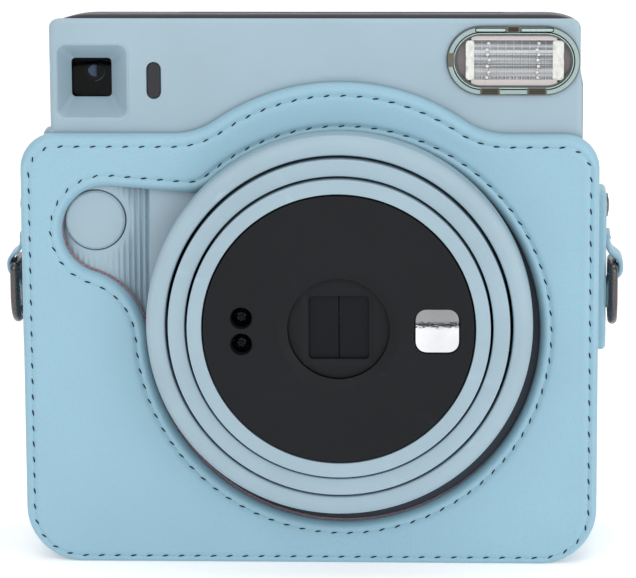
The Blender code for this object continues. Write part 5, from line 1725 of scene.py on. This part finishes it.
def sewn_panel(name, node, loops, place, base, seam, roll, seed, rings, steps, sink, drop=0.0):
    """A leather panel with a sewn line at the distance seam from its outline."""
    needles = needle_points(offset_line(loops[0], seam))

    def height(points, distance, outer):
        return sewn_height(points, distance, seam, needles, roll, seed) - drop

    mesh = relief(name, loops, place, base, height, SEAM_RINGS + mm(*rings), *steps)
    piece(name, mesh, "body", leather, [node], even=False)
    sew(name, needles, place, sink)


def build_side_strip():
    place, length = side_path()
    front, back = CASE_SIDE
    slope = CASE_SHOULDER - CASE_BACK_TOP
    start = 7.8 * MM
    corners = [(start, front), (length - start, front), (length - slope, back), (slope, back)]
    loops = [softened(corners, 2.5 * MM, 6), circle(length / 2 + LENS_X, SOCKET_DEPTH, 9 * MM, 60)]
    roll, steps, rings = mm(1.5, 1.0), mm(1.8, 0.6), (2.5, 2.75, 3.0, 3.4, 4.0)
    base, sink, drop = -CASE_SIDE_THICKNESS, -0.36 * MM, 0.14 * MM
    sewn_panel(
        "case_side", "case_side_strip", loops, place, base, 2.4 * MM, roll, 9.1, rings, steps, sink, drop
    )


def build_back_panel():
    place, base = to_back(CASE_BACK[1]), CASE_BACK[0] - CASE_BACK[1]
    roll, steps, rings = mm(1.6, 1.1), mm(2, 0.6), (2.5, 2.75, 3.0, 3.4)
    loops = [back_outline()]
    sewn_panel(
        "case_back", "case_back_panel", loops, place, base, 2.4 * MM, roll, 5.3, rings, steps, -0.22 * MM
    )


def build_tab(side, word):
    name, node, place = f"side_tab_{word}", f"strap_tab_{word}", to_side(side, TAB_FACE)
    half = TAB_WIDTH / 2
    loops = [rounded_box(TAB_DEPTH - half, TAB_DEPTH + half, TAB_LOW, TAB_HIGH, 2.5 * MM)]
    roll, steps = mm(1.1, 0.8), mm(1.2, 0.5)
    seed, sink = 2.2 + side, -0.22 * MM
    sewn_panel(name, node, loops, place, -TAB_THICKNESS, 1.7 * MM, roll, seed, (2.6,), steps, sink)


def build_loop(side, word):
    """The short band that holds the ring: down the tab, round the ring's bar and back to the tab."""
    thickness, width = (1.2 if side > 0 else 0.85) * MM, 9 * MM
    near = TAB_FACE + thickness / 2 - 0.1 * MM
    reach = RING_BAR_X + RING_WIRE + 0.15 * MM + thickness / 2
    knots = (
        (near, 73.6), (near, 72.4), (
            near + 0.15 * MM, 70.9
        ), (near + 0.9 * MM, 69.3), (reach - 0.4 * MM, 67.7),
        (reach, 66.0), (
            reach - 0.4 * MM, 64.3
        ), (near + 0.9 * MM, 62.7), (near + 0.1 * MM, 60.8), (near, 58.6), (near, 56.4),
    )
    path = [(side * x, FRONT_Y + TAB_DEPTH, z * MM) for x, z in knots]
    mesh = sweep(f"ring_loop_{word}", smooth_path(path, 8), (0, 1, 0), strip_section(width, thickness))
    piece(f"ring_loop_{word}", mesh, "body", leather)
    for end, z in (("upper", 72.7 * MM), ("lower", 58.0 * MM)):
        u = np.linspace(-3.1 * MM, 3.1 * MM, 4) + TAB_DEPTH
        needles = np.stack([u, np.full(4, z)], axis=1)
        sew(
            f"ring_loop_{word}_{end}",
            needles,
            to_side(side, near + thickness / 2),
            -0.03 * MM,
            closed=False,
        )


def build_cap(side, word):
    """The domed snap cap with its rolled rim."""
    start = low("snap_cap_right").x
    dome = [(1.9 * MM * cos(a), 0.45 * MM + 0.35 * MM * sin(a)) for a in np.linspace(0, pi / 2, 10)]
    profile = mm((0, 0), (2.55, 0), (2.8, 0.18), (2.7, 0.4), (2.35, 0.48), (2.05, 0.36))
    profile += dome[:-1] + [(0, 0.8 * MM)]
    mesh = turned(f"snap_{word}", profile, (0, 0), 48)
    mesh.transform(Matrix.Translation((0, -FRONT_Y, 0)))
    mesh.transform(Matrix.Rotation(radians(-90 * side), 4, "Z"))
    mesh.transform(Matrix.Translation((side * start, FRONT_Y + TAB_DEPTH, SNAP_Z)))
    piece(f"snap_{word}", mesh, "body", gunmetal, [f"snap_cap_{word}"])


def build_ring(side, word):
    """The D-shaped ring: a straight bar and a bow below it."""
    half = 7.0 * MM
    points = [
        (half - 0.8 * MM * (1 - cos(a)), -0.8 * MM + 0.8 * MM * sin(a)) for a in np.linspace(0, pi / 2, 6)
    ]
    points += [(0, 0)]
    points += [(-u, v) for u, v in reversed(points[:-1])]
    points += arc(0, -RING_DROP, half, 180, 360, 32)
    x = side * RING_BAR_X
    path = [(x, FRONT_Y + TAB_DEPTH + u, RING_BAR_Z + v) for u, v in points]
    mesh = sweep(f"strap_ring_{word}", path, (1, 0, 0), circle(0, 0, RING_WIRE, 20), closed=True)
    piece(f"strap_ring_{word}", mesh, f"{word}_ring", gunmetal, [f"d_ring_{word}"])


# The studio


def plain_white(name, value, glow=0.0):
    finish = Finish(name, 0.9)
    tone = finish.ranged(finish.noise(3, 2.0), 0, 1)
    finish.colour(
        finish.blend(tone, (value, value, value, 1), (value * 0.99, value * 0.99, value * 0.99, 1))
    )
    finish.shader.inputs["Specular IOR Level"].default_value = 0.0
    if glow:
        finish.shader.inputs["Emission Color"].default_value = (1, 1, 1, 1)
        finish.shader.inputs["Emission Strength"].default_value = glow
    return finish.material


def build_backdrop():
    """A pale floor that curves up behind."""
    profile = [(-3.0, 0.0), (1.2, 0.0)]
    profile += [(1.2 + 0.8 * sin(a), 0.8 - 0.8 * cos(a)) for a in np.linspace(0, pi / 2, 24)[1:]]
    profile += [(2.0, 4.0)]
    vertices = [(x, y, z) for y, z in profile for x in (-4, 4)]
    faces = [(2 * i, 2 * i + 1, 2 * i + 3, 2 * i + 2) for i in range(len(profile) - 1)]
    mesh = new_mesh("studio_floor", vertices, faces)
    floor = bpy.data.objects.new("studio_floor", mesh)
    bpy.context.scene.collection.objects.link(floor)
    floor.data.materials.append(plain_white("studio_white", 0.9, 0.25))
    card_points = [(-0.7, -1.5, 0.0), (0.9, -1.5, 0.0), (0.9, -1.5, 0.045), (-0.7, -1.5, 0.045)]
    card_mesh = new_mesh("studio_card", card_points, [(0, 1, 2, 3)])
    card = bpy.data.objects.new("studio_card", card_mesh)
    bpy.context.scene.collection.objects.link(card)
    card.data.materials.append(plain_white("studio_card_grey", 0.02))
    card.visible_camera = False
    card.visible_shadow = False
    card.visible_diffuse = False


def add_softbox(name, place, aim, size, power):
    data = bpy.data.lights.new(name, "AREA")
    data.shape = "RECTANGLE"
    data.size, data.size_y = size
    data.energy = power
    light = bpy.data.objects.new(name, data)
    light.location = place
    light.rotation_euler = (Vector(aim) - Vector(place)).to_track_quat("-Z", "Y").to_euler()
    light.visible_camera = False
    bpy.context.scene.collection.objects.link(light)


def build_lights():
    aim = (0, 0, 0.06)
    add_softbox("softbox_key", (-0.45, -1.1, 1.0), aim, (1.2, 1.2), 8)
    add_softbox("softbox_fill", (0.9, -1.0, 0.5), aim, (0.9, 1.0), 6.5)
    add_softbox("softbox_top", (0.1, 0.2, 1.2), aim, (1.0, 0.8), 5)
    world = bpy.data.worlds.new("studio_air")
    bpy.context.scene.world = world
    world.use_nodes = True
    background = world.node_tree.nodes["Background"]
    background.inputs["Color"].default_value = (1, 1, 1, 1)
    background.inputs["Strength"].default_value = 0.55


def build_camera():
    """The photograph's view: a long lens from slightly above and to the right."""
    data = bpy.data.cameras.new("photo_view")
    data.sensor_width = 36
    data.lens = 222.11
    data.clip_start, data.clip_end = 0.05, 20
    yaw, pitch, roll = radians(-2.51524), radians(-11.65102), radians(0.3)
    forward = Vector((sin(yaw) * cos(pitch), cos(yaw) * cos(pitch), sin(pitch)))
    level = Vector((cos(yaw), -sin(yaw), 0))
    down = forward.cross(level)
    right = cos(roll) * level + sin(roll) * down
    down = forward.cross(right)
    camera = bpy.data.objects.new("photo_view", data)
    turn = Matrix((right, -down, -forward)).transposed()
    camera.matrix_world = Matrix.Translation((0.0404188, -0.8933259, 0.2455923)) @ turn.to_4x4()
    bpy.context.scene.collection.objects.link(camera)
    bpy.context.scene.camera = camera
    bpy.context.scene.view_settings.view_transform = "Standard"


build_front_cover()
build_finder()
build_sensor_window()
build_index_mark()
build_grip()
build_shutter_button()
build_middle_frame()
build_rear()
build_film_door()
build_latch()
build_rear_windows()
build_screws()
build_socket()
build_lens()
build_disc()
build_cover_leaves()
build_disc_fittings()
build_flash()
build_front_panel()
build_side_strip()
build_back_panel()
for side, word in ((-1, "left"), (1, "right")):
    build_tab(side, word)
    build_loop(side, word)
    build_cap(side, word)
    build_ring(side, word)
build_backdrop()
build_lights()
build_camera()
